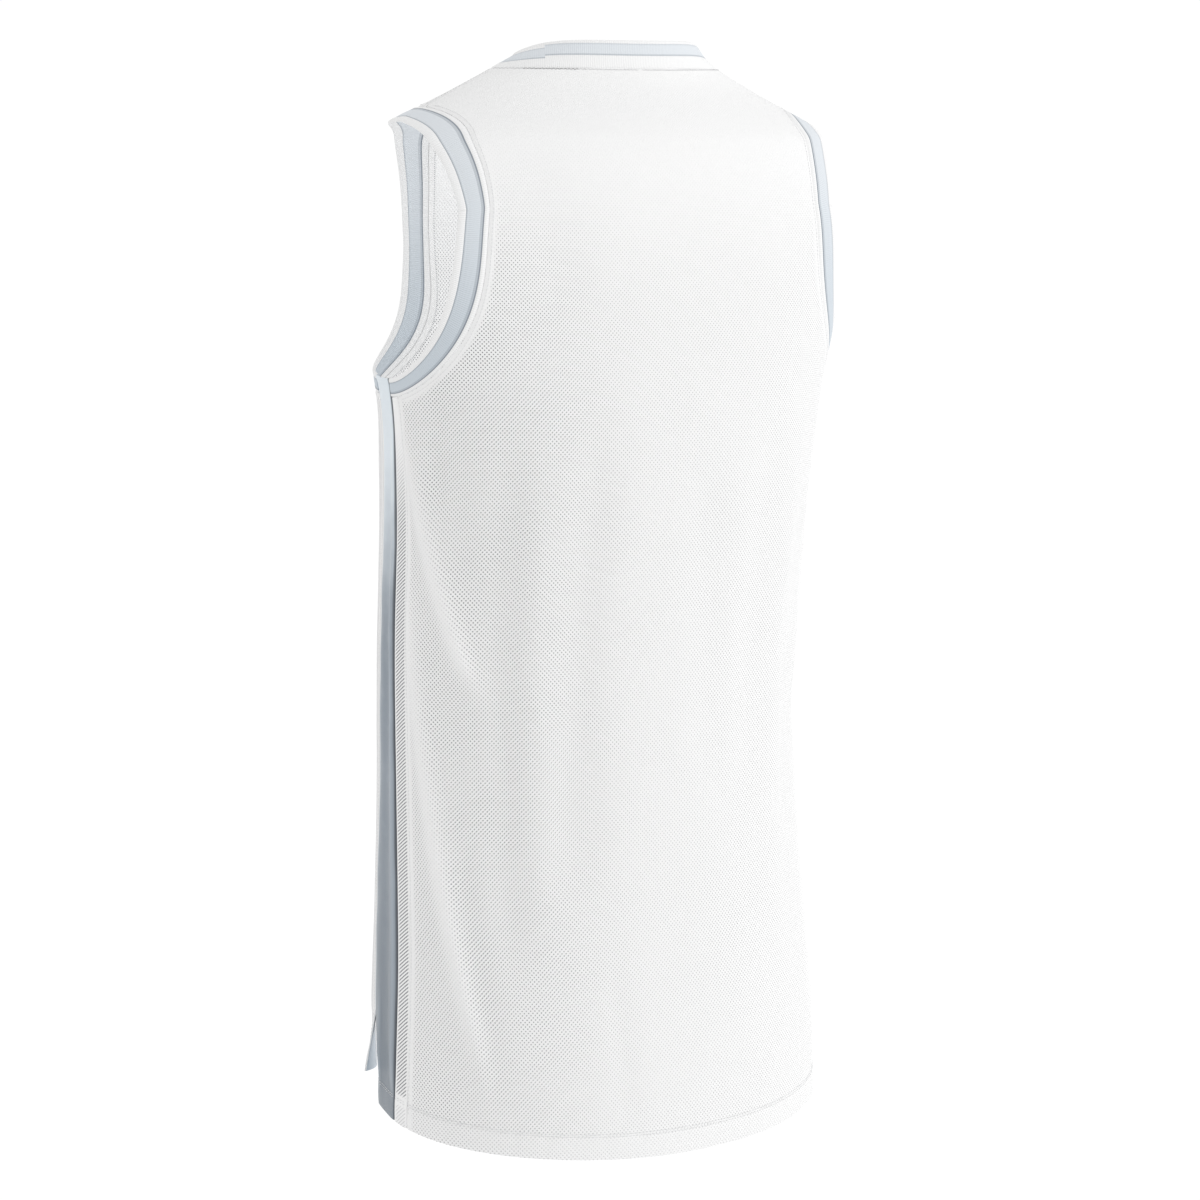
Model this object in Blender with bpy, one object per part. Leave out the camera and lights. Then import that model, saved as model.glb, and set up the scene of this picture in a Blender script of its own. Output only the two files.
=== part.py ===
"""Sleeveless basketball jersey, filled out and hollow, open at neck, armholes and hem.

The wearer faces -Y, the back of the jersey is +Y and the wearer's left is +X.
The origin lies midway between the two points where the shoulder seams meet the
neck seam, which is where the wearer's shoulders carry the jersey.

The cloth follows one body form.  A place on it is given on each side of the
body by two lengths, as on a paper pattern:
  along   distance round the body from the side line, + to the back, - to the front
  height  distance up the side line and over the shoulder ridge, 0 at the neck seam
"""
import math

import bmesh
import bpy
import numpy as np

# ---------------------------------------------------------------- driving dimensions
MM = 0.001

NECK_HALF_WIDTH = 0.101
SHOULDER_SLOPE = math.radians(25.25)
SHOULDER_TIP_ROUNDING = 0.006
SHOULDER_TIP_HALF_WIDTH = 0.183

UNDERARM_Z = -0.228
# One row for each half of the armhole: its reach along from the side line, the level
# of its widest point, and how square its curve is above and below that level.
ARMHOLE_COLUMNS = ("half", "reach", "widest_z", "upper_power", "lower_power")
ARMHOLES = (
    ("back", 0.106, -0.103, 1.45, 1.80),
    ("front", -0.164, -0.128, 1.95, 1.90),
)

BACK_NECK_Z = -0.001
FRONT_NECK_Z = -0.108
FRONT_NECK_POWER = 2.0

SIDE_CORNER_Z = -0.780
TAIL_Z = -0.815
TAIL_POWER = 2.03
FRONT_HEM_Z = -0.756
SLIT_TOP_Z = -0.708

ARM_RIB_WIDTH = 0.0235
UNDERARM_RIB_WIDTH = 0.0145
UNDERARM_RIB_SHARE = 0.42
NECK_RIB_HEIGHT = 0.021
NECK_CENTRE_Z = 0.060

PANEL_WALL = 1.2 * MM
BAND_WALL = 1.2 * MM
RIB_WALL = 1.6 * MM
FACING_WALL = 1.0 * MM
SEAM_GAP = 0.3 * MM

# One row for each level of the body form.  half_width, back and front are the
# section's reach from its centre, centre_y places the centre, and the powers say
# how square the back and front halves are (2 is an ellipse).
SECTION_COLUMNS = ("z", "half_width", "back", "front", "centre_y", "back_power", "front_power")
SECTIONS = (
    (0.020, 0.2000, 0.0545, 0.0545, 0.0035, 2.05, 2.05),
    (0.000, 0.2065, 0.0460, 0.0445, 0.0000, 1.85, 1.60),
    (-0.038, 0.2065, 0.0665, 0.0690, 0.0005, 1.85, 2.35),
    (-0.092, 0.2275, 0.0775, 0.0830, 0.0075, 2.00, 3.10),
    (-0.152, 0.2210, 0.0825, 0.0880, 0.0065, 2.15, 3.15),
    (-0.212, 0.1985, 0.0985, 0.0850, -0.0005, 2.20, 2.50),
    (-0.273, 0.1840, 0.1100, 0.1050, -0.0055, 2.25, 2.25),
    (-0.405, 0.1770, 0.1130, 0.1110, -0.0190, 2.10, 2.20),
    (-0.517, 0.1760, 0.1120, 0.1110, -0.0225, 2.05, 2.20),
    (-0.630, 0.1815, 0.1100, 0.1130, -0.0195, 2.10, 2.15),
    (-0.743, 0.1870, 0.1150, 0.1195, -0.0115, 2.15, 2.30),
    (-0.842, 0.1890, 0.1155, 0.1180, -0.0075, 2.10, 2.15),
)

# Where the seams beside the side band run: distance along from the side line.
SIDE_COLUMNS = ("z", "band_front", "band_rear", "strip_rear")
SIDE_SEAMS = (
    (-0.192, -0.0220, 0.0030, 0.0085),
    (-0.250, -0.0225, -0.0012, 0.0068),
    (-0.290, -0.0262, -0.0048, 0.0072),
    (-0.352, -0.0272, -0.0036, 0.0100),
    (-0.517, -0.0295, -0.0008, 0.0134),
    (-0.672, -0.0305, 0.0070, 0.0205),
    (-0.757, -0.0310, 0.0025, 0.0175),
    (-0.842, -0.0310, -0.0015, 0.0140),
)

# The largest soft folds: + stands out, - sinks in.  "across" is measured from the
# centre line of the back or front, + to the wearer's left.
FOLD_COLUMNS = ("panel", "across_top", "z_top", "across_low", "z_low", "width", "height")
FOLDS = (
    ("back", 0.238, -0.227, 0.150, -0.497, 0.015, 0.0030),
    ("back", 0.210, -0.412, 0.155, -0.807, 0.014, 0.0028),
    ("back", 0.145, -0.212, 0.132, -0.722, 0.013, -0.0024),
    ("back", 0.122, -0.272, 0.110, -0.672, 0.014, 0.0018),
    ("back", 0.076, -0.217, 0.084, -0.642, 0.017, -0.0026),
    ("back", -0.020, -0.272, -0.044, -0.572, 0.022, -0.0018),
    ("back", -0.090, -0.232, -0.074, -0.602, 0.020, -0.0022),
    ("back", -0.128, -0.282, -0.112, -0.692, 0.016, 0.0020),
    ("back", -0.232, -0.232, -0.158, -0.512, 0.016, 0.0028),
    ("back", -0.202, -0.442, -0.160, -0.792, 0.015, 0.0024),
    ("front", 0.152, -0.222, 0.096, -0.632, 0.018, 0.0028),
    ("front", 0.112, -0.192, 0.066, -0.552, 0.016, -0.0022),
    ("front", 0.018, -0.252, 0.010, -0.692, 0.024, -0.0024),
    ("front", -0.066, -0.212, -0.050, -0.592, 0.018, 0.0020),
    ("front", -0.140, -0.232, -0.104, -0.652, 0.017, -0.0024),
    ("front", -0.190, -0.292, -0.150, -0.732, 0.016, 0.0026),
)
FOLD_SIDE_FADE = 0.030
FOLD_END_FADE = 0.25

# Beside the slit the front's edge curls out and the band's corner lies in.  Both grow
# steadily from the slit's top to the front hem.
SLIT_CURL = 0.0092
SLIT_CURL_CROSSING = 0.0100
SLIT_CURL_FADE = 0.016
SLIT_TUCK = 0.0015
SLIT_TUCK_WIDTH = 0.022

# Stretch of levels over which the form is worked out
LOWEST_Z = -0.852
HIGHEST_Z = 0.020
SHOULDER_LOW_Z = -0.090

# Mesh density
LEVEL_SAMPLES = 1761
NORMAL_REACH = 1.5 * MM
ARC_SAMPLES = 160
UNDERARM_SHARE = 0.2
SIDE_ROWS = 19
ARMHOLE_ROWS = 14
SHOULDER_ROWS = 4
FRONT_ARMHOLE_ROWS = (6, 12)
PANEL_HALF_COLUMNS = 20
PANEL_GRADING = 0.4
BAND_ROWS = 26
BAND_COLUMNS = 4
STRIP_COLUMNS = 2
FACING_COLUMNS = 3
RIB_COLUMNS = 3
FACING_ROWS = 2
CURVE_SAMPLES = 400
MERGE_DECIMALS = 7
SMOOTH_ANGLE = math.radians(50.0)

CLOTH_ROUGHNESS = 0.85

COLOURS = {
    "white mesh": (0.86, 0.865, 0.87, 1.0),
    "coarse mesh": (0.72, 0.73, 0.74, 1.0),
    "grey satin": (0.50, 0.56, 0.62, 1.0),
    "striped rib": (0.66, 0.71, 0.76, 1.0),
}


# ---------------------------------------------------------------- tables and curves
def spline(knots, values, at):
    """Natural cubic spline through the knots, read at any array of places."""
    order = np.argsort(knots)
    x = np.asarray(knots, float)[order]
    y = np.asarray(values, float)[order]
    step = np.diff(x)
    count = len(x)
    matrix = np.eye(count)
    right = np.zeros(count)
    for i in range(1, count - 1):
        matrix[i, i - 1:i + 2] = (step[i - 1], 2 * (step[i - 1] + step[i]), step[i])
        right[i] = 6 * ((y[i + 1] - y[i]) / step[i] - (y[i] - y[i - 1]) / step[i - 1])
    bend = np.linalg.solve(matrix, right)
    at = np.clip(at, x[0], x[-1])
    k = np.clip(np.searchsorted(x, at) - 1, 0, count - 2)
    a = (x[k + 1] - at) / step[k]
    b = (at - x[k]) / step[k]
    return a * y[k] + b * y[k + 1] + ((a**3 - a) * bend[k] + (b**3 - b) * bend[k + 1]) * step[k]**2 / 6


def table_value(rows, columns, name, z):
    """One column of a table, read at the heights z."""
    column = columns.index(name)
    return spline([row[0] for row in rows], [row[column] for row in rows], z)


def named_rows(columns, rows):
    """The rows of a table, each with its values under the names of the columns."""
    return [dict(zip(columns, row)) for row in rows]


def soft_step(x):
    """0 below 0, 1 above 1, with a smooth rise between."""
    x = np.clip(x, 0.0, 1.0)
    return x * x * (3 - 2 * x)


def half_width(z):
    """Reach of the side line, rounding over into the sloping shoulder ridge."""
    side = table_value(SECTIONS, SECTION_COLUMNS, "half_width", z)
    ridge = NECK_HALF_WIDTH - z / math.tan(SHOULDER_SLOPE)
    return (side + ridge - np.sqrt((side - ridge)**2 + SHOULDER_TIP_ROUNDING**2)) / 2


def make_climb():
    """Matching arrays of z and of the length climbed along side line and ridge."""
    z = np.linspace(LOWEST_Z, HIGHEST_Z, LEVEL_SAMPLES)
    rise = np.hypot(np.diff(z), np.diff(half_width(z)))
    climb = np.concatenate([[0.0], np.cumsum(rise)])
    return z, climb - np.interp(0.0, z, climb)


CLIMB_Z, CLIMB = make_climb()


def height_of(z):
    """Length climbed at a level z."""
    return np.interp(z, CLIMB_Z, CLIMB)


def z_of(height):
    """Level of a length climbed."""
    return np.interp(height, CLIMB, CLIMB_Z)


# ---------------------------------------------------------------- the body form
def section_arcs(z, back):
    """Quarter sections from the side line to the centre line: x, y and length so far."""
    z = z[:, None]
    turn = np.linspace(0.0, math.pi / 2, ARC_SAMPLES)[None, :]
    depth_name, power_name = ("back", "back_power") if back else ("front", "front_power")
    depth = table_value(SECTIONS, SECTION_COLUMNS, depth_name, z)
    power = table_value(SECTIONS, SECTION_COLUMNS, power_name, z)
    centre = table_value(SECTIONS, SECTION_COLUMNS, "centre_y", z)
    x = half_width(z) * np.cos(turn).clip(0.0)**(2 / power)
    reach = depth * np.sin(turn)**(2 / power)
    y = centre + (reach if back else -reach)
    steps = np.hypot(np.diff(x, axis=1), np.diff(y, axis=1))
    length = np.concatenate([np.zeros((len(z), 1)), np.cumsum(steps, axis=1)], axis=1)
    return x, y, length


def quarter_length(height, back):
    """Distance along from the side line to the centre line."""
    height = np.atleast_1d(height)
    return section_arcs(z_of(height), back)[2][:, -1]


def form_points(along, height):
    """Points of the bare form on the wearer's left, for arrays of along and height."""
    along = np.ravel(along)
    height = np.ravel(height)
    z = z_of(height)
    points = np.zeros((len(along), 3))
    points[:, 2] = z
    for back in (True, False):
        rows = np.nonzero((along >= 0) == back)[0]
        if len(rows) == 0:
            continue
        x, y, length = section_arcs(z[rows], back)
        for i, row in enumerate(rows):
            reach = abs(along[row])
            whole = length[i, -1]
            over = reach > whole
            reach = 2 * whole - reach if over else reach
            points[row, 0] = np.interp(reach, length[i], x[i]) * (-1 if over else 1)
            points[row, 1] = np.interp(reach, length[i], y[i])
    return points


def form_normals(along, height):
    """Unit normals of the form, pointing out."""
    round_way = form_points(along + NORMAL_REACH, height) - form_points(along - NORMAL_REACH, height)
    up_way = form_points(along, height + NORMAL_REACH) - form_points(along, height - NORMAL_REACH)
    normal = np.cross(round_way, up_way)
    return normal / np.linalg.norm(normal, axis=1)[:, None]


def fold_lift(side, along, height):
    """How far the soft folds move the cloth out of the form."""
    z = z_of(height)
    lift = np.zeros(len(along))
    for back, name in ((True, "back"), (False, "front")):
        rows = np.nonzero((along >= 0) == back)[0]
        if len(rows) == 0:
            continue
        distance = np.abs(along[rows])
        across = side * (quarter_length(height[rows], back) - distance)
        total = np.zeros(len(rows))
        for fold in named_rows(FOLD_COLUMNS, FOLDS):
            if fold["panel"] != name:
                continue
            part = (z[rows] - fold["z_top"]) / (fold["z_low"] - fold["z_top"])
            middle = fold["across_top"] + (fold["across_low"] - fold["across_top"]) * part
            ends = soft_step(part / FOLD_END_FADE) * soft_step((1 - part) / FOLD_END_FADE)
            total += fold["height"] * ends * np.exp(-((across - middle) / fold["width"])**2)
        lift[rows] = total * soft_step(distance / FOLD_SIDE_FADE)
    return lift


def slit_place(along, height):
    """Share of the way down the side slit, and distance round from it."""
    top = height_of(SLIT_TOP_Z)
    drop = (top - height) / (top - height_of(FRONT_HEM_Z))
    edge = table_value(SIDE_SEAMS, SIDE_COLUMNS, "band_front", z_of(height))
    return np.clip(drop, 0.0, 1.0), np.abs(along - edge)


def slit_curl(along, height):
    """The front's edge curls out beside the slit, from a shallow hollow further in."""
    drop, distance = slit_place(along, height)
    return SLIT_CURL * drop * (1 - distance / SLIT_CURL_CROSSING) * np.exp(-distance / SLIT_CURL_FADE)


def slit_tuck(along, height):
    """The band's corner lies a little in from the front one."""
    drop, distance = slit_place(along, height)
    return -SLIT_TUCK * drop * np.exp(-(distance / SLIT_TUCK_WIDTH)**2)


# ---------------------------------------------------------------- seam and edge lines
def at_shares(line, shares):
    """The line's points at shares of its length."""
    line = np.asarray(line, float)
    run = np.concatenate([[0.0], np.cumsum(np.linalg.norm(np.diff(line, axis=0), axis=1))])
    return np.column_stack([np.interp(shares * run[-1], run, line[:, k]) for k in range(2)])


def resample(line, count):
    """The same line with evenly spaced points."""
    return at_shares(line, np.linspace(0.0, 1.0, count))


def side_seam(name, low_z, high_z, shift):
    """A seam beside the side band, from low_z up to high_z, moved along by shift."""
    z = np.linspace(low_z, high_z, CURVE_SAMPLES)
    along = table_value(SIDE_SEAMS, SIDE_COLUMNS, name, z) + shift
    return np.column_stack([along, height_of(z)])


def armhole_half(back, inset):
    """One half of the armhole line, from the underarm up to the shoulder ridge.

    inset 0 is the rib's sewn edge, and ARM_RIB_WIDTH is its free edge.  The rib
    narrows to UNDERARM_RIB_WIDTH at the underarm.
    """
    ridge_z = np.linspace(SHOULDER_LOW_Z, 0.0, CURVE_SAMPLES)
    tip = np.interp(-SHOULDER_TIP_HALF_WIDTH, -half_width(ridge_z), height_of(ridge_z))
    low = height_of(UNDERARM_Z) - UNDERARM_RIB_WIDTH
    high = tip + ARM_RIB_WIDTH
    turn = np.linspace(0.0, math.pi, CURVE_SAMPLES)
    half = named_rows(ARMHOLE_COLUMNS, ARMHOLES)[0 if back else 1]
    reach = half["reach"]
    widest = height_of(half["widest_z"])
    swing = np.cos(turn)
    power = 2 / np.where(swing > 0, half["lower_power"], half["upper_power"])
    along = reach * np.sin(turn).clip(0.0)**power
    climb = widest + np.where(swing > 0, low - widest, high - widest) * np.abs(swing)**power
    line = resample(np.column_stack([along, climb]), CURVE_SAMPLES)
    sign = math.copysign(1.0, reach)
    way = np.gradient(line, axis=0)
    way[0] = (sign, 0.0)
    way[-1] = (-sign, 0.0)
    way /= np.linalg.norm(way, axis=1)[:, None]
    inward = np.column_stack([-way[:, 1], way[:, 0]]) * sign
    up = soft_step(np.linspace(0.0, 1.0, CURVE_SAMPLES) / UNDERARM_RIB_SHARE)
    width = UNDERARM_RIB_WIDTH + (ARM_RIB_WIDTH - UNDERARM_RIB_WIDTH) * up
    gap = SEAM_GAP / 2
    depth = min(inset, gap) + max(inset - gap, 0.0) * (width - gap) / (ARM_RIB_WIDTH - gap)
    return line + inward * depth[:, None]


def cut_line(line, start, end):
    """The stretch of a line, whose along rises steadily, between two values of along."""
    inside = (line[:, 0] > start) & (line[:, 0] < end)
    ends = [(at, np.interp(at, line[:, 0], line[:, 1])) for at in (start, end)]
    return np.vstack([ends[0], line[inside], ends[1]])


def underarm_line(inset):
    """The lowest part of the armhole line, from the front round to the back."""
    low = int(CURVE_SAMPLES * UNDERARM_SHARE)
    front = armhole_half(False, inset)[low:0:-1]
    return np.vstack([front, armhole_half(True, inset)[:low]])


def armhole_from(back, inset, start):
    """Armhole line from a place near the underarm up to the shoulder ridge."""
    low = int(CURVE_SAMPLES * UNDERARM_SHARE)
    half = armhole_half(back, inset)
    under = underarm_line(inset)
    if back:
        under = cut_line(under, start, under[-1, 0])
    else:
        under = cut_line(under, under[0, 0], start)[::-1]
    return np.vstack([under, half[low:]])


def armhole_stops(back, inset, start):
    """Evenly stepped armhole points, the same stops for the rib and for the panel beside it."""
    line = armhole_from(back, inset, start)
    line[-1, 0] = 0.0
    if back:
        return sampled([line], (ARMHOLE_ROWS,))
    widest = int(np.argmin(line[:, 0]))
    return sampled([line[:widest + 1], line[widest:]], FRONT_ARMHOLE_ROWS)


def seam_along(name, height):
    """Where a side seam runs at one height."""
    return float(table_value(SIDE_SEAMS, SIDE_COLUMNS, name, z_of(height)))


def sampled(parts, counts):
    """One row of points from several parts, whose shared corners stay corners."""
    pieces = [resample(parts[0], counts[0] + 1)]
    for part, count in zip(parts[1:], counts[1:]):
        pieces.append(resample(part, count + 1)[1:])
    return np.vstack(pieces)


def graded_shares():
    """Shares of a panel half's columns from the centre to the side, closer near the side."""
    even = np.linspace(0.0, 1.0, PANEL_HALF_COLUMNS + 1)
    return even + PANEL_GRADING * even * (1 - even)


def graded(line):
    """The line's points at a panel half's columns, from the centre to the side."""
    return at_shares(line, graded_shares())


def blended_patch(low, high, first, last, u=None):
    """Grid of (along, height) between two rows of points and two columns of points."""
    u = (np.linspace(0.0, 1.0, len(low)) if u is None else u)[None, :, None]
    v = np.linspace(0.0, 1.0, len(first))[:, None, None]
    sides = (1 - u) * first[:, None, :] + u * last[:, None, :]
    ends = (1 - v) * low[None] + v * high[None]
    corners = (1 - v) * ((1 - u) * low[0] + u * low[-1]) + v * ((1 - u) * high[0] + u * high[-1])
    return sides + ends - corners


# ---------------------------------------------------------------- pattern of each piece
def hem_line(start, end, count=CURVE_SAMPLES):
    """Tail hem between two shares of the way from the centre back (0) to the slit (1)."""
    share = np.linspace(start, end, count)
    z = TAIL_Z + (SIDE_CORNER_Z - TAIL_Z) * share**TAIL_POWER
    height = height_of(z)
    whole = quarter_length(height, True)
    slit = table_value(SIDE_SEAMS, SIDE_COLUMNS, "band_front", z)
    return np.column_stack([whole - share * (whole - slit), height])


def hem_share(name, shift):
    """Share of the way along the tail hem at which a side seam meets it."""
    line = hem_line(0.0, 1.0)
    seam = table_value(SIDE_SEAMS, SIDE_COLUMNS, name, z_of(line[:, 1])) + shift
    return float(np.interp(0.0, seam - line[:, 0], np.linspace(0.0, 1.0, len(line))))


def back_neckline():
    """From the centre back to the shoulder seam."""
    share = np.linspace(1.0, 0.0, CURVE_SAMPLES)
    z = BACK_NECK_Z * soft_step(share)
    height = height_of(z)
    return np.column_stack([share * quarter_length(height, True), height])


def front_neckline():
    """From the centre front up to the shoulder seam, a rounded scoop seen from the front."""
    turn = np.linspace(0.0, math.pi / 2, CURVE_SAMPLES)
    power = 2 / FRONT_NECK_POWER
    x = NECK_HALF_WIDTH * np.sin(turn)**power
    z = FRONT_NECK_Z * np.cos(turn).clip(0.0)**power
    section_x, _, length = section_arcs(z, False)
    along = [-np.interp(-x[i], -section_x[i], length[i]) for i in range(len(x))]
    return np.column_stack([along, height_of(z)])


def centre_line(low_z, high_z, back):
    """Centre back or centre front between two levels."""
    z = np.linspace(low_z, high_z, CURVE_SAMPLES)
    height = height_of(z)
    sign = 1 if back else -1
    return np.column_stack([sign * quarter_length(height, back), height])


def panel_edge(back, seam, shift, low_z):
    """Side seam, armhole seam and shoulder seam of a panel half, from hem to neck."""
    inset = -SEAM_GAP / 2
    low_height = armhole_half(back, inset)[0, 1]
    armhole = armhole_stops(back, inset, seam_along(seam, low_height) + shift)
    armhole[-1, 0] = shift
    side = sampled([side_seam(seam, low_z, float(z_of(armhole[0, 1])), shift)], (SIDE_ROWS,))
    ridge = sampled([np.array([armhole[-1], (shift, 0.0)])], (SHOULDER_ROWS,))
    return side, armhole, ridge


def back_pattern():
    """Half of the back, from the centre line to its seams."""
    shift = SEAM_GAP / 2
    low = hem_line(0.0, hem_share("strip_rear", shift))
    side, armhole, ridge = panel_edge(True, "strip_rear", shift, float(z_of(low[-1, 1])))
    edge = np.vstack([side, armhole[1:], ridge[1:]])
    neck = graded(back_neckline())
    neck[-1] = ridge[-1]
    centre = sampled([centre_line(TAIL_Z, BACK_NECK_Z, True)], (len(edge) - 1,))
    grid = blended_patch(graded(low), neck, centre, edge, graded_shares())
    grid[:, 0, 0] = quarter_length(grid[:, 0, 1], True)
    return grid


def front_pattern():
    """Half of the front: the body up to the neckline, and the strap above it."""
    shift = -SEAM_GAP / 2
    height = float(height_of(FRONT_HEM_Z))
    seam = seam_along("band_front", height) + shift
    low = graded([(-float(quarter_length(height, False)[0]), height), (seam, height)])
    side, armhole, ridge = panel_edge(False, "band_front", shift, FRONT_HEM_Z)
    low_rows, high_rows = FRONT_ARMHOLE_ROWS
    neck = sampled([front_neckline()], (high_rows,))
    neck[-1] = ridge[-1]
    widest = armhole[low_rows]
    share = graded_shares()
    strap_row = np.column_stack([neck[0, 0] + (widest[0] - neck[0, 0]) * share,
                                 neck[0, 1] + (widest[1] - neck[0, 1]) * soft_step(share)])
    body_edge = np.vstack([side, armhole[1:low_rows + 1]])
    centre = sampled([centre_line(FRONT_HEM_Z, FRONT_NECK_Z, False)], (len(body_edge) - 1,))
    body = blended_patch(low, strap_row, centre, body_edge, share)
    body[:, 0, 0] = -quarter_length(body[:, 0, 1], False)
    strap = blended_patch(strap_row, graded(ridge[::-1]), neck, armhole[low_rows:], share)
    return np.vstack([body, strap[1:]])


def band_pattern():
    """Side band: from the tail hem up to the free edge of the armhole rib."""
    gap = SEAM_GAP / 2
    top = underarm_line(ARM_RIB_WIDTH)
    top_height = float(height_of(UNDERARM_Z))
    high = cut_line(top, seam_along("band_front", top_height) + gap,
                    seam_along("band_rear", top_height) - gap)
    low = hem_line(hem_share("band_front", gap), hem_share("band_rear", -gap))
    front = side_seam("band_front", float(z_of(low[0, 1])), float(z_of(high[0, 1])), gap)
    rear = side_seam("band_rear", float(z_of(low[-1, 1])), float(z_of(high[-1, 1])), -gap)
    return blended_patch(sampled([low], (BAND_COLUMNS,)), sampled([high], (BAND_COLUMNS,)),
                         sampled([front], (BAND_ROWS,)), sampled([rear], (BAND_ROWS,)))


def strip_pattern():
    """Coarse mesh strip between the side band and the back."""
    gap = SEAM_GAP / 2
    top = underarm_line(-gap)
    top_height = float(height_of(UNDERARM_Z)) - UNDERARM_RIB_WIDTH
    high = cut_line(top, seam_along("band_rear", top_height) + gap,
                    seam_along("strip_rear", top_height) - gap)
    low = hem_line(hem_share("band_rear", gap), hem_share("strip_rear", -gap))
    front = side_seam("band_rear", float(z_of(low[0, 1])), float(z_of(high[0, 1])), gap)
    rear = side_seam("strip_rear", float(z_of(low[-1, 1])), float(z_of(high[-1, 1])), -gap)
    return blended_patch(sampled([low], (STRIP_COLUMNS,)), sampled([high], (STRIP_COLUMNS,)),
                         sampled([front], (BAND_ROWS,)), sampled([rear], (BAND_ROWS,)))


def armhole_rib_pattern():
    """Rib from the rear of the side band, over the shoulder, to the front of the band."""
    gap = SEAM_GAP / 2
    columns = []
    for inset in np.linspace(gap, ARM_RIB_WIDTH, RIB_COLUMNS + 1):
        low_height = armhole_half(True, inset)[0, 1]
        strip_rear = seam_along("strip_rear", low_height)
        beside_strip = cut_line(underarm_line(inset), seam_along("band_rear", low_height) + gap, strip_rear)
        up = armhole_stops(True, inset, strip_rear)
        down = armhole_stops(False, inset, seam_along("band_front", low_height) - gap)[::-1]
        columns.append(np.vstack([beside_strip[:1], up, down[1:]]))
    return np.stack(columns, axis=1)


def facing_pattern():
    """Facing behind the front edge of the slit, laid out on the front's own points."""
    return front_pattern()[:FACING_ROWS + 1, -1 - FACING_COLUMNS:]


# ---------------------------------------------------------------- cloth walls
def cloth_skins(pattern, side, wall, lift, inward):
    """Outer and inner points of a piece laid out on one side of the body form."""
    along = pattern[..., 0].ravel()
    height = pattern[..., 1].ravel()
    points = form_points(along, height)
    normals = form_normals(along, height)
    out = fold_lift(side, along, height) - inward
    if lift is not None:
        out = out + lift(along, height)
    mirror = np.array([side, 1.0, 1.0])
    outer = (points + normals * out[:, None]) * mirror
    inner = (points + normals * (out - wall)[:, None]) * mirror
    shape = pattern.shape[:2] + (3,)
    return outer.reshape(shape), inner.reshape(shape)


def wall_mesh(name, skins):
    """Closed wall from pairs of outer and inner grids, joined where their points meet."""
    index = {}
    front = []
    behind = []
    quads = []
    for outer, inner in skins:
        numbers = np.empty(outer.shape[:2], int)
        for place in np.ndindex(numbers.shape):
            key = tuple(np.round(outer[place], MERGE_DECIMALS))
            if key not in index:
                index[key] = len(front)
                front.append(outer[place])
                behind.append(inner[place])
            numbers[place] = index[key]
        corners = (numbers[:-1, :-1], numbers[:-1, 1:], numbers[1:, 1:], numbers[1:, :-1])
        quads += np.stack(corners, axis=-1).reshape(-1, 4).tolist()
    bm = bmesh.new()
    front = [bm.verts.new(point) for point in front]
    behind = [bm.verts.new(point) for point in behind]
    sides = {(quad[k - 1], quad[k]) for quad in quads for k in range(4)}
    for quad in quads:
        bm.faces.new([front[i] for i in quad])
        bm.faces.new([behind[i] for i in reversed(quad)])
    for i, j in sorted(sides):
        if (j, i) not in sides:
            bm.faces.new((front[j], front[i], behind[i], behind[j]))
    bmesh.ops.recalc_face_normals(bm, faces=bm.faces[:])
    mesh = bpy.data.meshes.new(name)
    bm.to_mesh(mesh)
    bm.free()
    mesh.shade_smooth()
    mesh.set_sharp_from_angle(angle=SMOOTH_ANGLE)
    return mesh


def material(name):
    """The cloth's material, made once."""
    found = bpy.data.materials.get(name)
    if found:
        return found
    made = bpy.data.materials.new(name)
    made.use_nodes = True
    shader = made.node_tree.nodes["Principled BSDF"]
    shader.inputs["Base Color"].default_value = COLOURS[name]
    shader.inputs["Roughness"].default_value = CLOTH_ROUGHNESS
    shader.inputs["Metallic"].default_value = 0.0
    made.diffuse_color = COLOURS[name]
    return made


def add_piece(name, skins, cloth):
    """One named object of one cloth."""
    mesh = wall_mesh(name, skins)
    mesh.materials.append(material(cloth))
    piece = bpy.data.objects.new(name, mesh)
    bpy.context.scene.collection.objects.link(piece)


def add_panel(name, pattern, lift):
    """A panel that spans the body, from two halves that meet on the centre line."""
    left = cloth_skins(pattern, 1, PANEL_WALL, lift, 0.0)
    right = cloth_skins(pattern, -1, PANEL_WALL, lift, 0.0)
    turned = tuple(skin[:, ::-1] for skin in right)
    add_piece(name, (left, turned), "white mesh")


def add_side_pair(name, pattern, wall, cloth, lift=None, inward=0.0):
    """The same piece on the left and the right, moved inward where it lies under another."""
    for side, word in ((1, "left"), (-1, "right")):
        add_piece(f"{name}_{word}", (cloth_skins(pattern, side, wall, lift, inward),), cloth)


def neck_seam():
    """Closed loop of the neck seam, with the normal at each point."""
    back = graded(back_neckline())
    front = sampled([front_neckline()], (FRONT_ARMHOLE_ROWS[1],))
    back[-1, 0] = 0.0
    left = np.vstack([back, front[-2::-1]])
    points = form_points(left[:, 0], left[:, 1])
    normals = form_normals(left[:, 0], left[:, 1])
    mirror = np.array([-1.0, 1.0, 1.0])
    loop = np.vstack([points, points[-2:0:-1] * mirror])
    out = np.vstack([normals, normals[-2:0:-1] * mirror])
    return loop, out


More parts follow.
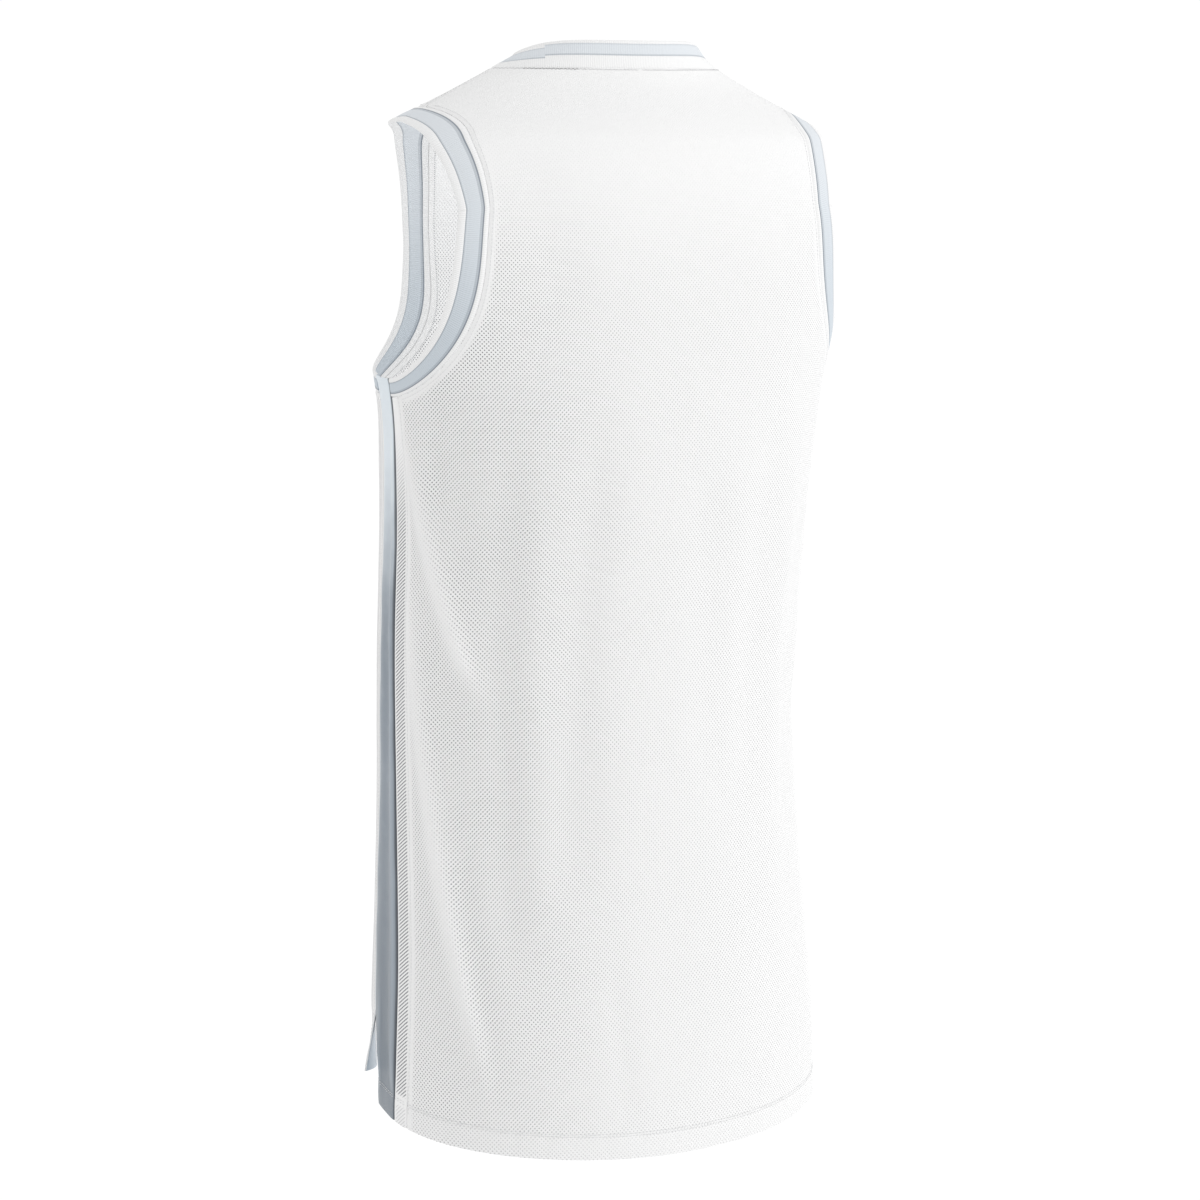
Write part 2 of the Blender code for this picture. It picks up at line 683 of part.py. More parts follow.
def add_neck_rib():
    """Ring that carries the slope of the panels on past the neck seam."""
    loop, out = neck_seam()
    way = np.roll(loop, -1, axis=0) - np.roll(loop, 1, axis=0)
    climb = np.cross(out, way)
    to_neck = np.array([0.0, 0.0, NECK_CENTRE_Z]) - loop
    climb *= np.sign(np.sum(climb * to_neck, axis=1))[:, None]
    climb /= np.linalg.norm(climb, axis=1)[:, None]
    reach = np.linspace(SEAM_GAP / 2, NECK_RIB_HEIGHT, RIB_COLUMNS + 1)
    outer = loop[:, None, :] + climb[:, None, :] * reach[None, :, None]
    inner = outer - out[:, None, :] * RIB_WALL
    round_way = tuple(np.concatenate([skin, skin[:1]]) for skin in (outer, inner))
    add_piece("neck_rib", (round_way,), "striped rib")


def main():
    for old in list(bpy.data.objects):
        bpy.data.objects.remove(old, do_unlink=True)
    add_panel("back_panel", back_pattern(), None)
    add_panel("front_panel", front_pattern(), slit_curl)
    add_side_pair("side_band", band_pattern(), BAND_WALL, "grey satin", slit_tuck)
    add_side_pair("mesh_strip", strip_pattern(), PANEL_WALL, "coarse mesh", slit_tuck)
    add_side_pair("armhole_rib", armhole_rib_pattern(), RIB_WALL, "striped rib")
    add_side_pair("slit_facing", facing_pattern(), FACING_WALL, "grey satin", slit_curl,
                  PANEL_WALL + SEAM_GAP)
    add_neck_rib()


main()
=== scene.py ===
"""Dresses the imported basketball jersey: eyelet knit, satin bands, striped ribs and sewing.

The wearer faces -Y and the wearer's left is +X.  The cloth follows one body form, on
which a place is given on each side of the body by two lengths, as on a paper pattern:
  along   distance round the body from the side line, + to the back, - to the front
  height  distance up the side line and over the shoulder ridge, 0 at the neck seam
"across" is the distance from the centre back or front, + to the wearer's left.
All sizes are in metres.
"""
import sys

import logging
import math
from dataclasses import dataclass, field
from enum import Enum

import bpy
import numpy as np
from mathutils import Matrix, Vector


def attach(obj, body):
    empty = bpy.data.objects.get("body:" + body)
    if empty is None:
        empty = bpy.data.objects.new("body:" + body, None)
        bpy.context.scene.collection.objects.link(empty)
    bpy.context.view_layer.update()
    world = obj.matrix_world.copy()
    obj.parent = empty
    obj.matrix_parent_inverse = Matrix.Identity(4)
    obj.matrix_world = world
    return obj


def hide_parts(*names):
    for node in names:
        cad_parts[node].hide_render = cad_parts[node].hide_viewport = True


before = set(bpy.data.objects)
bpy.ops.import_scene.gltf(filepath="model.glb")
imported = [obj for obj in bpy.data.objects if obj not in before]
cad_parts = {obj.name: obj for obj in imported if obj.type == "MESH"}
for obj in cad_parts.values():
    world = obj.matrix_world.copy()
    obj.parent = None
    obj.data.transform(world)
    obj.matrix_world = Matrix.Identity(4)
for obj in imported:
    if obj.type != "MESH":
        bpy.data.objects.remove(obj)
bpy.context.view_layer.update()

Array = np.ndarray
Socket = bpy.types.NodeSocket
Material = bpy.types.Material
Piece = bpy.types.Object

LOG = logging.getLogger("jersey")
MM = 0.001
HALF_GAP = 0.3 * MM / 2  # half of the gap between two sewn pieces
CENTRE_SNAP = 0.02 * MM  # points this near the centre plane are put on it
SMOOTH_ANGLE = math.radians(42.0)
HEM_ROWS = (17.3 * MM, 19.2 * MM)  # the twin rows of stitches above a hem
# the inner skins get a painted glow of their own colour, standing in for daylight that comes through the
# cloth
LIGHT_THROUGH_SINGLE = 0.23  # share of the daylight that comes through one layer
LIGHT_THROUGH_DOUBLE = 0.14  # and through two
# distances from a seam, and from a hem, at which a net has a row of points
SEAM_STEPS = tuple(value * MM for value in (0.4, 0.9, 1.5, 2.1, 2.8, 3.8, 5.2, 7.0))
HEM_STEPS = tuple(value * MM for value in (
    0.4, 1.0, 2.0, 4.0, 7.0, 10.5, 13.5, 15.5, 16.6, 17.0, 17.4, 17.8, 18.4, 19.0, 19.4, 19.8, 20.4, 21.4,
    24.0))


class Side(Enum):
    """The wearer's left or right side."""

    LEFT = 1
    RIGHT = -1

    @property
    def word(self) -> str:
        """The side's name in lower case."""
        return self.name.lower()


class Half(Enum):
    """The back or front half of the body."""

    BACK = "back"
    FRONT = "front"

    @property
    def sign(self) -> int:
        """The sign that the half gives to along."""
        return 1 if self is Half.BACK else -1


class Seam(Enum):
    """The seams beside the side band, by the name of their column in the table."""

    BAND_FRONT = "band_front"
    BAND_REAR = "band_rear"
    STRIP_REAR = "strip_rear"


# ---- curves
def spline(knots: list[float], values: list[float], at: Array) -> Array:
    """Reads a natural cubic spline.

    Args:
        knots: places of the spline's knots.
        values: its values there.
        at: places to read it at.
    Returns:
        The values read.
    """
    order = np.argsort(knots)
    x = np.asarray(knots, float)[order]
    y = np.asarray(values, float)[order]
    step = np.diff(x)
    count = len(x)
    matrix = np.eye(count)
    right = np.zeros(count)
    for i in range(1, count - 1):
        matrix[i, i - 1:i + 2] = (step[i - 1], 2 * (step[i - 1] + step[i]), step[i])
        right[i] = 6 * ((y[i + 1] - y[i]) / step[i] - (y[i] - y[i - 1]) / step[i - 1])
    bend = np.linalg.solve(matrix, right)
    at = np.clip(at, x[0], x[-1])
    k = np.clip(np.searchsorted(x, at) - 1, 0, count - 2)
    a = (x[k + 1] - at) / step[k]
    b = (at - x[k]) / step[k]
    return a * y[k] + b * y[k + 1] + ((a**3 - a) * bend[k] + (b**3 - b) * bend[k + 1]) * step[k]**2 / 6


def soft_step(x: Array) -> Array:
    """0 below 0, 1 above 1, with a smooth rise between."""
    x = np.clip(x, 0.0, 1.0)
    return x * x * (3 - 2 * x)


def bell(distance: Array, width: float) -> Array:
    """1 at distance 0, falling away smoothly over the width."""
    return np.exp(-(distance / width)**2)


def unit(ways: Array) -> Array:
    """The same ways, each of length 1."""
    return ways / np.linalg.norm(ways, axis=1)[:, None]


def run_of(line: Array) -> Array:
    """The length of a line from its start to each of its points."""
    return np.concatenate([[0.0], np.cumsum(np.linalg.norm(np.diff(line, axis=0), axis=1))])


def at_shares(line: Array, shares: Array) -> Array:
    """The points of a line at shares of its length."""
    run = run_of(line)
    return np.column_stack([np.interp(shares * run[-1], run, part) for part in line.T])


def evenly(line: Array, count: int) -> Array:
    """The same line with evenly spaced points."""
    return at_shares(line, np.linspace(0.0, 1.0, count))


def stops(length: float, step: float, start: tuple = (), end: tuple = ()) -> Array:
    """Distances along a length: listed ones at its ends and even steps between.

    Args:
        length: the whole length.
        step: the largest step between the two ends.
        start: distances from the start.
        end: distances from the end.
    Returns:
        Distances from 0 to the whole length.
    """
    low = start[-1] if start else 0.0
    high = length - (end[-1] if end else 0.0)
    count = max(1, math.ceil((high - low) / step))
    middle = np.linspace(low, high, count + 1)
    return np.concatenate([[0.0] if start else [], start[:-1], middle,
                           [length - value for value in end[-2::-1]], [length] if end else []])


def chained(step: float, *parts: tuple[Array, tuple, tuple]) -> tuple[Array, Array]:
    """Sets stops along lines that follow each other.

    Args:
        step: the largest step.
        parts: each line with listed distances from its start and from its end.
    Returns:
        The places, and their distances from the first one.
    """
    places = []
    run = np.zeros(1)
    for line, start, end in parts:
        own = stops(run_of(line)[-1], step, start, end)
        places.append(at_shares(line, own / own[-1])[min(1, len(places)):])
        run = np.concatenate([run, run[-1] + own[1:]])
    return np.vstack(places), run


def matched(run: Array, length: float, start: float, end: float) -> Array:
    """Stretches distances to another length, and keeps those near both ends.

    Args:
        run: distances from 0 to their whole length.
        length: the other length.
        start: distance from the start that is kept.
        end: distance from the end that is kept.
    Returns:
        Shares of the other length.
    """
    whole = run[-1]
    return np.interp(run, [0.0, start, whole - end, whole], [0.0, start, length - end, length]) / length


def blended(low: Array, high: Array, first: Array, last: Array,
            u: Array, v: Array) -> Array:
    """Grid of places between two rows and two columns.

    Args:
        low: lowest row.
        high: highest row.
        first: first column.
        last: last column.
        u: share of each column across.
        v: share of each row up.
    Returns:
        The grid, rows by columns by 2.
    """
    u = u[None, :, None]
    v = v[:, None, None]
    sides = (1 - u) * first[:, None, :] + u * last[:, None, :]
    ends = (1 - v) * low[None] + v * high[None]
    corners = (1 - v) * ((1 - u) * low[0] + u * low[-1]) + v * ((1 - u) * high[0] + u * high[-1])
    return sides + ends - corners


# ---- the body form
@dataclass(frozen=True)
class Level:
    """Section of the form at one level; a power of 2 is an ellipse, more is squarer."""

    z: float
    half_width: float
    back: float
    front: float
    centre_y: float
    back_power: float
    front_power: float


LEVELS = tuple(Level(*sizes) for sizes in (
    (0.020, 0.2000, 0.0545, 0.0545, 0.0035, 2.05, 2.05),
    (0.000, 0.2065, 0.0460, 0.0445, 0.0000, 1.85, 1.60),
    (-0.038, 0.2065, 0.0665, 0.0690, 0.0005, 1.85, 2.35),
    (-0.092, 0.2275, 0.0775, 0.0830, 0.0075, 2.00, 3.10),
    (-0.152, 0.2210, 0.0825, 0.0880, 0.0065, 2.15, 3.15),
    (-0.212, 0.1985, 0.0985, 0.0850, -0.0005, 2.20, 2.50),
    (-0.273, 0.1840, 0.1100, 0.1050, -0.0055, 2.25, 2.25),
    (-0.405, 0.1770, 0.1130, 0.1110, -0.0190, 2.10, 2.20),
    (-0.517, 0.1760, 0.1120, 0.1110, -0.0225, 2.05, 2.20),
    (-0.630, 0.1815, 0.1100, 0.1130, -0.0195, 2.10, 2.15),
    (-0.743, 0.1870, 0.1150, 0.1195, -0.0115, 2.15, 2.30),
    (-0.842, 0.1890, 0.1155, 0.1180, -0.0075, 2.10, 2.15),
))


@dataclass
class BodyForm:
    """The filled-out form that the cloth lies on, sections joined by a sloping shoulder ridge."""

    levels: tuple[Level, ...] = LEVELS
    neck_half_width: float = 0.101
    shoulder_slope: float = math.radians(25.25)
    tip_rounding: float = 0.006
    lowest_z: float = -0.852
    highest_z: float = 0.020
    level_count: int = 1761
    arc_count: int = 300
    normal_reach: float = 1.5 * MM
    _z: Array = field(init=False, repr=False)
    _climb: Array = field(init=False, repr=False)
    _arcs: dict = field(init=False, repr=False)

    def __post_init__(self) -> None:
        """Works out the climb up the side and the sections at every level."""
        self._z = np.linspace(self.lowest_z, self.highest_z, self.level_count)
        rise = np.hypot(np.diff(self._z), np.diff(self.half_width(self._z)))
        climb = np.concatenate([[0.0], np.cumsum(rise)])
        self._climb = climb - np.interp(0.0, self._z, climb)
        self._arcs = {half: self._sections(half) for half in Half}

    def column(self, name: str, z: Array) -> Array:
        """One column of the levels, read at the heights z."""
        return spline([level.z for level in self.levels], [getattr(level, name) for level in self.levels], z)

    def half_width(self, z: Array) -> Array:
        """Reach of the side line, rounding over into the shoulder ridge."""
        side, ridge = self.column("half_width", z), self.neck_half_width - z / math.tan(self.shoulder_slope)
        return (side + ridge - np.sqrt((side - ridge)**2 + self.tip_rounding**2)) / 2

    def height_of(self, z: Array) -> Array:
        """Length climbed at a level."""
        return np.interp(z, self._z, self._climb)

    def z_of(self, height: Array) -> Array:
        """Level of a length climbed."""
        return np.interp(height, self._climb, self._z)

    def _sections(self, half: Half) -> tuple[Array, Array, Array]:
        """Quarter sections from the side line to the centre line.

        Args:
            half: back or front.
        Returns:
            x, y and the length so far, each levels by samples.
        """
        share = np.linspace(0.0, 1.0, self.arc_count)[None, :]
        turn = (share - 0.8 * np.sin(2 * math.pi * share) / (2 * math.pi)) * math.pi / 2
        z = self._z[:, None]
        power = 2 / self.column(f"{half.value}_power", z)
        x = self.half_width(z) * np.cos(turn).clip(0.0)**power
        y = self.column("centre_y", z)
        y = y + half.sign * self.column(half.value, z) * np.sin(turn).clip(0.0)**power
        steps = np.hypot(np.diff(x, axis=1), np.diff(y, axis=1))
        return x, y, np.concatenate([np.zeros((len(z), 1)), np.cumsum(steps, axis=1)], axis=1)

    def _levels_beside(self, height: Array) -> tuple[Array, Array]:
        """Finds the levels that heights lie between.

        Args:
            height: the heights.
        Returns:
            Number of the level below each height, and the share of the way to the next.
        """
        place = (self.z_of(height) - self.lowest_z) / (self._z[1] - self._z[0])
        below = np.clip(place.astype(int), 0, self.level_count - 2)
        return below, np.clip(place - below, 0.0, 1.0)

    def quarter(self, height: Array, half: Half) -> Array:
        """Distance along from the side line to the centre line."""
        (below, share), whole = self._levels_beside(np.atleast_1d(height)), self._arcs[half][2][:, -1]
        return whole[below] * (1 - share) + whole[below + 1] * share

    def along_at_x(self, x: Array, z: Array, half: Half) -> Array:
        """Finds places by their distance from the centre plane.

        Args:
            x: distances from the centre plane.
            z: levels of the places.
            half: back or front.
        Returns:
            Their unsigned distances along.
        """
        xs, _, length = self._arcs[half]
        below, share = self._levels_beside(self.height_of(z))
        found = [[np.interp(-at, -xs[k], length[k]) for k in (low, low + 1)] for at, low in zip(x, below)]
        return np.asarray(found)[:, 0] * (1 - share) + np.asarray(found)[:, 1] * share

    def _on_level(self, level: Array, reach: Array, half: Half) -> Array:
        """Places on given levels.

        Args:
            level: number of the level of each place.
            reach: its unsigned distance along.
            half: back or front.
        Returns:
            x and y, places by 2.
        """
        xs, ys, length = self._arcs[half]
        whole = length[level, -1]
        over = reach > whole
        reach = np.where(over, 2 * whole - reach, reach)
        spacing = 2.0
        key = (length + spacing * np.arange(len(length))[:, None]).ravel()
        k = np.searchsorted(key, reach + spacing * level, side="right") - 1
        k = np.clip(k, level * self.arc_count, (level + 1) * self.arc_count - 2)
        flat = length.ravel()
        share = np.clip((reach - flat[k]) / (flat[k + 1] - flat[k]), 0.0, 1.0)
        x = xs.ravel()[k] * (1 - share) + xs.ravel()[k + 1] * share
        y = ys.ravel()[k] * (1 - share) + ys.ravel()[k + 1] * share
        return np.column_stack([np.where(over, -x, x), y])

    def points(self, along: Array, height: Array) -> Array:
        """Finds points of the form on the wearer's left.

        Args:
            along: distance along of each place.
            height: its height.
        Returns:
            The points, places by 3.
        """
        points = np.zeros((len(along), 3))
        points[:, 2] = self.z_of(height)
        below, share = self._levels_beside(height)
        for half in Half:
            rows = np.nonzero((along >= 0) == (half is Half.BACK))[0]
            reach = np.abs(along[rows])
            low = self._on_level(below[rows], reach, half)
            high = self._on_level(below[rows] + 1, reach, half)
            points[rows, :2] = low + (high - low) * share[rows, None]
        return points

    def normals(self, along: Array, height: Array) -> Array:
        """Finds the form's normals on the wearer's left.

        Args:
            along: distance along of each place.
            height: its height.
        Returns:
            Ways out of the form, each of length 1.
        """
        reach = self.normal_reach
        round_way = self.points(along + reach, height) - self.points(along - reach, height)
        up_way = self.points(along, height + reach) - self.points(along, height - reach)
        return unit(np.cross(round_way, up_way))


@dataclass
class Spots:
    """Spots on the cloth, each on one side of the body: sign 1 is the wearer's left, -1 the right."""

    form: BodyForm
    along: Array
    height: Array
    sign: Array

    @staticmethod
    def on(form: BodyForm, place: Array, side: Side) -> "Spots":
        """The spots of places along and up, all on one side."""
        along, height = place[..., 0].ravel(), place[..., 1].ravel()
        return Spots(form, along, height, np.full(len(along), float(side.value)))

    @property
    def z(self) -> Array:
        """The level of each spot."""
        return self.form.z_of(self.height)

    @property
    def across(self) -> Array:
        """Distance from the centre back or front, + to the wearer's left."""
        whole = np.where(self.along >= 0, *(self.form.quarter(self.height, half) for half in Half))
        return self.sign * (whole - np.abs(self.along))

    def distance_to(self, line: Array) -> Array:
        """Measures to the nearest point of a line, on the pattern.

        Args:
            line: places along the line.
        Returns:
            The distance of each spot.
        """
        spacing, batch = 0.6 * MM, 60
        dense = at_shares(line, np.linspace(0.0, 1.0, max(2, int(run_of(line)[-1] / spacing))))
        best = np.full(len(self.along), 1.0)
        for start in range(0, len(dense), batch):
            along, height = dense[start:start + batch].T
            near = np.hypot(self.along[:, None] - along, self.height[:, None] - height).min(axis=1)
            best = np.minimum(best, near)
        return best

    def laid(self, lift: Array) -> tuple[Array, Array]:
        """Lays the cloth at a distance out of the form.

        Args:
            lift: the distance at each spot.
        Returns:
            The points and the form's normals there.
        """
        mirror = np.column_stack([self.sign, np.ones((len(self.sign), 2))])
        normal = self.form.normals(self.along, self.height) * mirror
        return self.form.points(self.along, self.height) * mirror + normal * lift[:, None], normal


# ---- where the cloth is cut
@dataclass(frozen=True)
class SeamRow:
    """Distance along of the seams beside the side band at one level."""

    z: float
    band_front: float
    band_rear: float
    strip_rear: float


@dataclass(frozen=True)
class ArmholeCurve:
    """One half of the armhole: its reach along, its widest level, and how square it is."""

    reach: float
    widest_z: float
    upper_power: float
    lower_power: float


@dataclass
class CutLines:
    """Every seam and edge line of the jersey, laid out on the body form."""

    form: BodyForm
    seams: tuple[SeamRow, ...] = tuple(SeamRow(*sizes) for sizes in (
        (-0.192, -0.0220, 0.0030, 0.0085),
        (-0.250, -0.0225, -0.0012, 0.0068),
        (-0.290, -0.0262, -0.0048, 0.0072),
        (-0.352, -0.0272, -0.0036, 0.0100),
        (-0.517, -0.0295, -0.0008, 0.0134),
        (-0.672, -0.0305, 0.0070, 0.0205),
        (-0.757, -0.0310, 0.0025, 0.0175),
        (-0.842, -0.0310, -0.0015, 0.0140),
    ))
    back_armhole: ArmholeCurve = ArmholeCurve(0.106, -0.103, 1.45, 1.80)
    front_armhole: ArmholeCurve = ArmholeCurve(-0.164, -0.128, 1.95, 1.90)
    underarm_z: float = -0.228
    shoulder_tip: float = 0.183
    ridge_low_z: float = -0.090
    back_neck_z: float = -0.001
    front_neck_z: float = -0.108
    side_corner_z: float = -0.780
    tail_z: float = -0.815
    tail_power: float = 2.03
    front_hem_z: float = -0.756
    slit_top_z: float = -0.708
    rib_width: float = 0.0235
    underarm_rib_width: float = 0.0145
    underarm_rib_share: float = 0.42
    curl_size: float = 0.0092
    curl_turn: float = 0.0100
    curl_fade: float = 0.016
    tuck_size: float = 0.0015
    tuck_width: float = 0.022
    samples: int = 400
    under_samples: int = 80

    def seam_along(self, seam: Seam, z: Array) -> Array:
        """Where a side seam runs at the levels z."""
        return spline([row.z for row in self.seams], [getattr(row, seam.value) for row in self.seams], z)

    def side_seam(self, seam: Seam, low_z: float, high_z: float, shift: float) -> Array:
        """A seam beside the side band between two levels, moved along by shift."""
        z = np.linspace(low_z, high_z, self.samples)
        return np.column_stack([self.seam_along(seam, z) + shift, self.form.height_of(z)])

    def armhole_half(self, half: Half, inset: float) -> Array:
        """One half of the armhole from the underarm up to the shoulder ridge.

        Args:
            half: back or front.
            inset: distance in from the sewn edge of the rib.
        Returns:
            Places along the line.
        """
        curve = self.back_armhole if half is Half.BACK else self.front_armhole
        ridge_z = np.linspace(self.ridge_low_z, 0.0, self.samples)
        tip = np.interp(-self.shoulder_tip, -self.form.half_width(ridge_z), self.form.height_of(ridge_z))
        low = self.form.height_of(self.underarm_z) - self.underarm_rib_width
        high = tip + self.rib_width
        turn = np.linspace(0.0, math.pi, self.samples)
        swing = np.cos(turn)
        widest = self.form.height_of(curve.widest_z)
        power = 2 / np.where(swing > 0, curve.lower_power, curve.upper_power)
        along = curve.reach * np.sin(turn).clip(0.0)**power
        climb = widest + np.where(swing > 0, low - widest, high - widest) * np.abs(swing)**power
        line = evenly(np.column_stack([along, climb]), self.samples)
        way = np.gradient(line, axis=0)
        way[0] = (half.sign, 0.0)
        way[-1] = (-half.sign, 0.0)
        way = unit(way)
        up = soft_step(np.linspace(0.0, 1.0, self.samples) / self.underarm_rib_share)
        width = self.underarm_rib_width + (self.rib_width - self.underarm_rib_width) * up
        rest = max(inset - HALF_GAP, 0.0)
        depth = min(inset, HALF_GAP) + rest * (width - HALF_GAP) / (self.rib_width - HALF_GAP)
        return line + np.column_stack([-way[:, 1], way[:, 0]]) * half.sign * depth[:, None]

    @staticmethod
    def between(line: Array, start: float, end: float) -> Array:
        """The stretch of a line between two values of along."""
        first, last = ((at, np.interp(at, line[:, 0], line[:, 1])) for at in (start, end))
        return np.vstack([first, line[(line[:, 0] > start) & (line[:, 0] < end)], last])

    def underarm(self, inset: float) -> Array:
        """The lowest part of the armhole, from the front round to the back."""
        back, front = (self.armhole_half(half, inset) for half in Half)
        return np.vstack([front[self.under_samples:0:-1], back[:self.under_samples]])

    def armhole_from(self, half: Half, inset: float, start: float) -> Array:
        """Draws the armhole from near the underarm up to the shoulder ridge.

        Args:
            half: back or front.
            inset: distance in from the sewn edge of the rib.
            start: along at which the line starts.
        Returns:
            Places along the line.
        """
        under = self.underarm(inset)
        if half is Half.BACK:
            under = self.between(under, start, under[-1, 0])
        else:
            under = self.between(under, under[0, 0], start)[::-1]
        line = np.vstack([under, self.armhole_half(half, inset)[self.under_samples:]])
        line[-1, 0] = 0.0
        return line

    def hem(self, start: float = 0.0, end: float = 1.0) -> Array:
        """Draws the tail hem between two shares of the way from the centre back to the slit.

        Args:
            start: share at which the line starts.
            end: share at which it ends.
        Returns:
            Places along the line.
        """
        share = np.linspace(start, end, self.samples)
        z = self.tail_z + (self.side_corner_z - self.tail_z) * share**self.tail_power
        height = self.form.height_of(z)
        whole = self.form.quarter(height, Half.BACK)
        return np.column_stack([whole - share * (whole - self.seam_along(Seam.BAND_FRONT, z)), height])

    def hem_share(self, seam: Seam, shift: float) -> float:
        """Finds where a side seam meets the tail hem.

        Args:
            seam: the seam.
            shift: how far it is moved along.
        Returns:
            Share of the way from the centre back to the slit.
        """
        line = self.hem()
        gap = self.seam_along(seam, self.form.z_of(line[:, 1])) + shift - line[:, 0]
        return float(np.interp(0.0, gap, np.linspace(0.0, 1.0, len(line))))

    def front_hem(self, shift: float) -> Array:
        """Draws the front hem.

        Args:
            shift: how far its end at the slit is moved along.
        Returns:
            Places from the centre front to the slit.
        """
        height = float(self.form.height_of(self.front_hem_z))
        seam = float(self.seam_along(Seam.BAND_FRONT, self.front_hem_z)) + shift
        centre = -float(self.form.quarter(height, Half.FRONT)[0])
        return evenly(np.array([(centre, height), (seam, height)]), self.samples // 2)

    def neckline(self, half: Half) -> Array:
        """Draws the neck seam.

        Args:
            half: back or front.
        Returns:
            Places from the centre up to the shoulder seam.
        """
        form = self.form
        if half is Half.BACK:
            share = np.linspace(1.0, 0.0, self.samples)
            height = form.height_of(self.back_neck_z * soft_step(share))
            return np.column_stack([share * form.quarter(height, Half.BACK), height])
        turn = np.linspace(0.0, math.pi / 2, self.samples)
        z = self.front_neck_z * np.cos(turn).clip(0.0)
        along = -form.along_at_x(form.neck_half_width * np.sin(turn), z, Half.FRONT)
        line = np.column_stack([along, form.height_of(z)])
        line[-1] = (0.0, 0.0)
        return line

    def centre(self, low_z: float, high_z: float, half: Half) -> Array:
        """Centre back or centre front between two levels."""
        height = self.form.height_of(np.linspace(low_z, high_z, self.samples))
        return np.column_stack([half.sign * self.form.quarter(height, half), height])

    def panel_edge(self, half: Half) -> tuple[Array, Array, Array]:
        """Draws the sewn edge of half a panel, from its hem to its neck.

        Args:
            half: back or front.
        Returns:
            Side seam, armhole seam and shoulder seam.
        """
        seam = Seam.STRIP_REAR if half is Half.BACK else Seam.BAND_FRONT
        shift = half.sign * HALF_GAP
        low_z = self.form.z_of(self.armhole_half(half, -HALF_GAP)[0, 1])
        armhole = self.armhole_from(half, -HALF_GAP, float(self.seam_along(seam, low_z)) + shift)
        armhole[-1, 0] = shift
        bottom = self.front_hem_z
        if half is Half.BACK:
            bottom = float(self.form.z_of(self.hem(0.0, self.hem_share(seam, shift))[-1, 1]))
        side = self.side_seam(seam, bottom, float(self.form.z_of(armhole[0, 1])), shift)
        return side, armhole, evenly(np.array([armhole[-1], (shift, 0.0)]), self.samples // 4)

    def slit_place(self, spots: Spots) -> tuple[Array, Array]:
        """Measures from the side slit.

        Args:
            spots: spots on the cloth.
        Returns:
            Share of the way down the slit, and distance round from it.
        """
        top, bottom = (self.form.height_of(z) for z in (self.slit_top_z, self.front_hem_z))
        drop, seam = (top - spots.height) / (top - bottom), self.seam_along(Seam.BAND_FRONT, spots.z)
        return np.clip(drop, 0.0, 1.0), np.abs(spots.along - seam)

    def slit_curl(self, spots: Spots) -> Array:
        """The front's edge curls out beside the slit, from a shallow hollow further in."""
        drop, distance = self.slit_place(spots)
        return self.curl_size * drop * (1 - distance / self.curl_turn) * np.exp(-distance / self.curl_fade)

    def slit_tuck(self, spots: Spots) -> Array:
        """How far the band's corner lies in from the front one, as a move out."""
        drop, distance = self.slit_place(spots)
        return -self.tuck_size * drop * bell(distance, self.tuck_width)


# ---- folds
@dataclass(frozen=True)
class Crease:
    """A soft ridge (+) or hollow (-) of the cloth, laid between two places."""

    across_top: float
    z_top: float
    across_low: float
    z_low: float
    width: float
    height: float
    bow: float = 0.0
    fade: float = 0.25

    def lift(self, across: Array, z: Array) -> Array:
        """Works out how far the crease moves the cloth out.

        Args:
            across: distance across of each spot.
            z: its level.
        Returns:
            Its move.
        """
        part = (z - self.z_top) / (self.z_low - self.z_top)
        middle = self.across_top + (self.across_low - self.across_top) * part
        middle = middle + self.bow * 4 * part * (1 - part)
        ends = soft_step(part / self.fade) * soft_step((1 - part) / self.fade)
        return self.height * ends * bell(across - middle, self.width)


# on such creases the eyelets' painted shade is lessened on crests and deepened in hollows, partly closed knit
# and partly painted light and shade
SHARP_WIDTH = 9.5 * MM  # a narrower crease also closes or opens the knit
BACK_CREASES = tuple(Crease(*sizes) for sizes in (
    (0.238, -0.227, 0.150, -0.497, 0.015, 0.0030),
    (0.210, -0.412, 0.155, -0.807, 0.014, 0.0028),
    (0.145, -0.212, 0.132, -0.722, 0.013, -0.0024),
    (0.122, -0.272, 0.110, -0.672, 0.014, 0.0018),
    (0.076, -0.217, 0.084, -0.642, 0.017, -0.0026),
    (-0.020, -0.272, -0.044, -0.572, 0.022, -0.0018),
    (-0.090, -0.232, -0.074, -0.602, 0.020, -0.0022),
    (-0.128, -0.282, -0.112, -0.692, 0.016, 0.0020),
    (-0.232, -0.232, -0.158, -0.512, 0.016, 0.0028),
    (-0.202, -0.442, -0.160, -0.792, 0.015, 0.0024),
    (0.240, -0.240, 0.1535, -0.476, 0.0076, 0.0040, 0.003, 0.18),
    (0.226, -0.345, 0.158, -0.775, 0.0072, 0.0036, 0.0, 0.18),
    (0.195, -0.218, 0.198, -0.330, 0.0080, -0.0022),
    (0.168, -0.552, 0.150, -0.792, 0.0090, -0.0012, 0.002),
    (0.128, -0.042, 0.092, -0.182, 0.0240, -0.0012),
    (0.058, -0.652, 0.050, -0.810, 0.0100, -0.0010),
    (-0.222, -0.254, -0.168, -0.447, 0.0060, 0.0012, 0.003),
    (-0.190, -0.512, -0.166, -0.762, 0.0060, 0.0011, 0.002),
    (-0.150, -0.228, -0.146, -0.412, 0.0100, -0.0012),
))
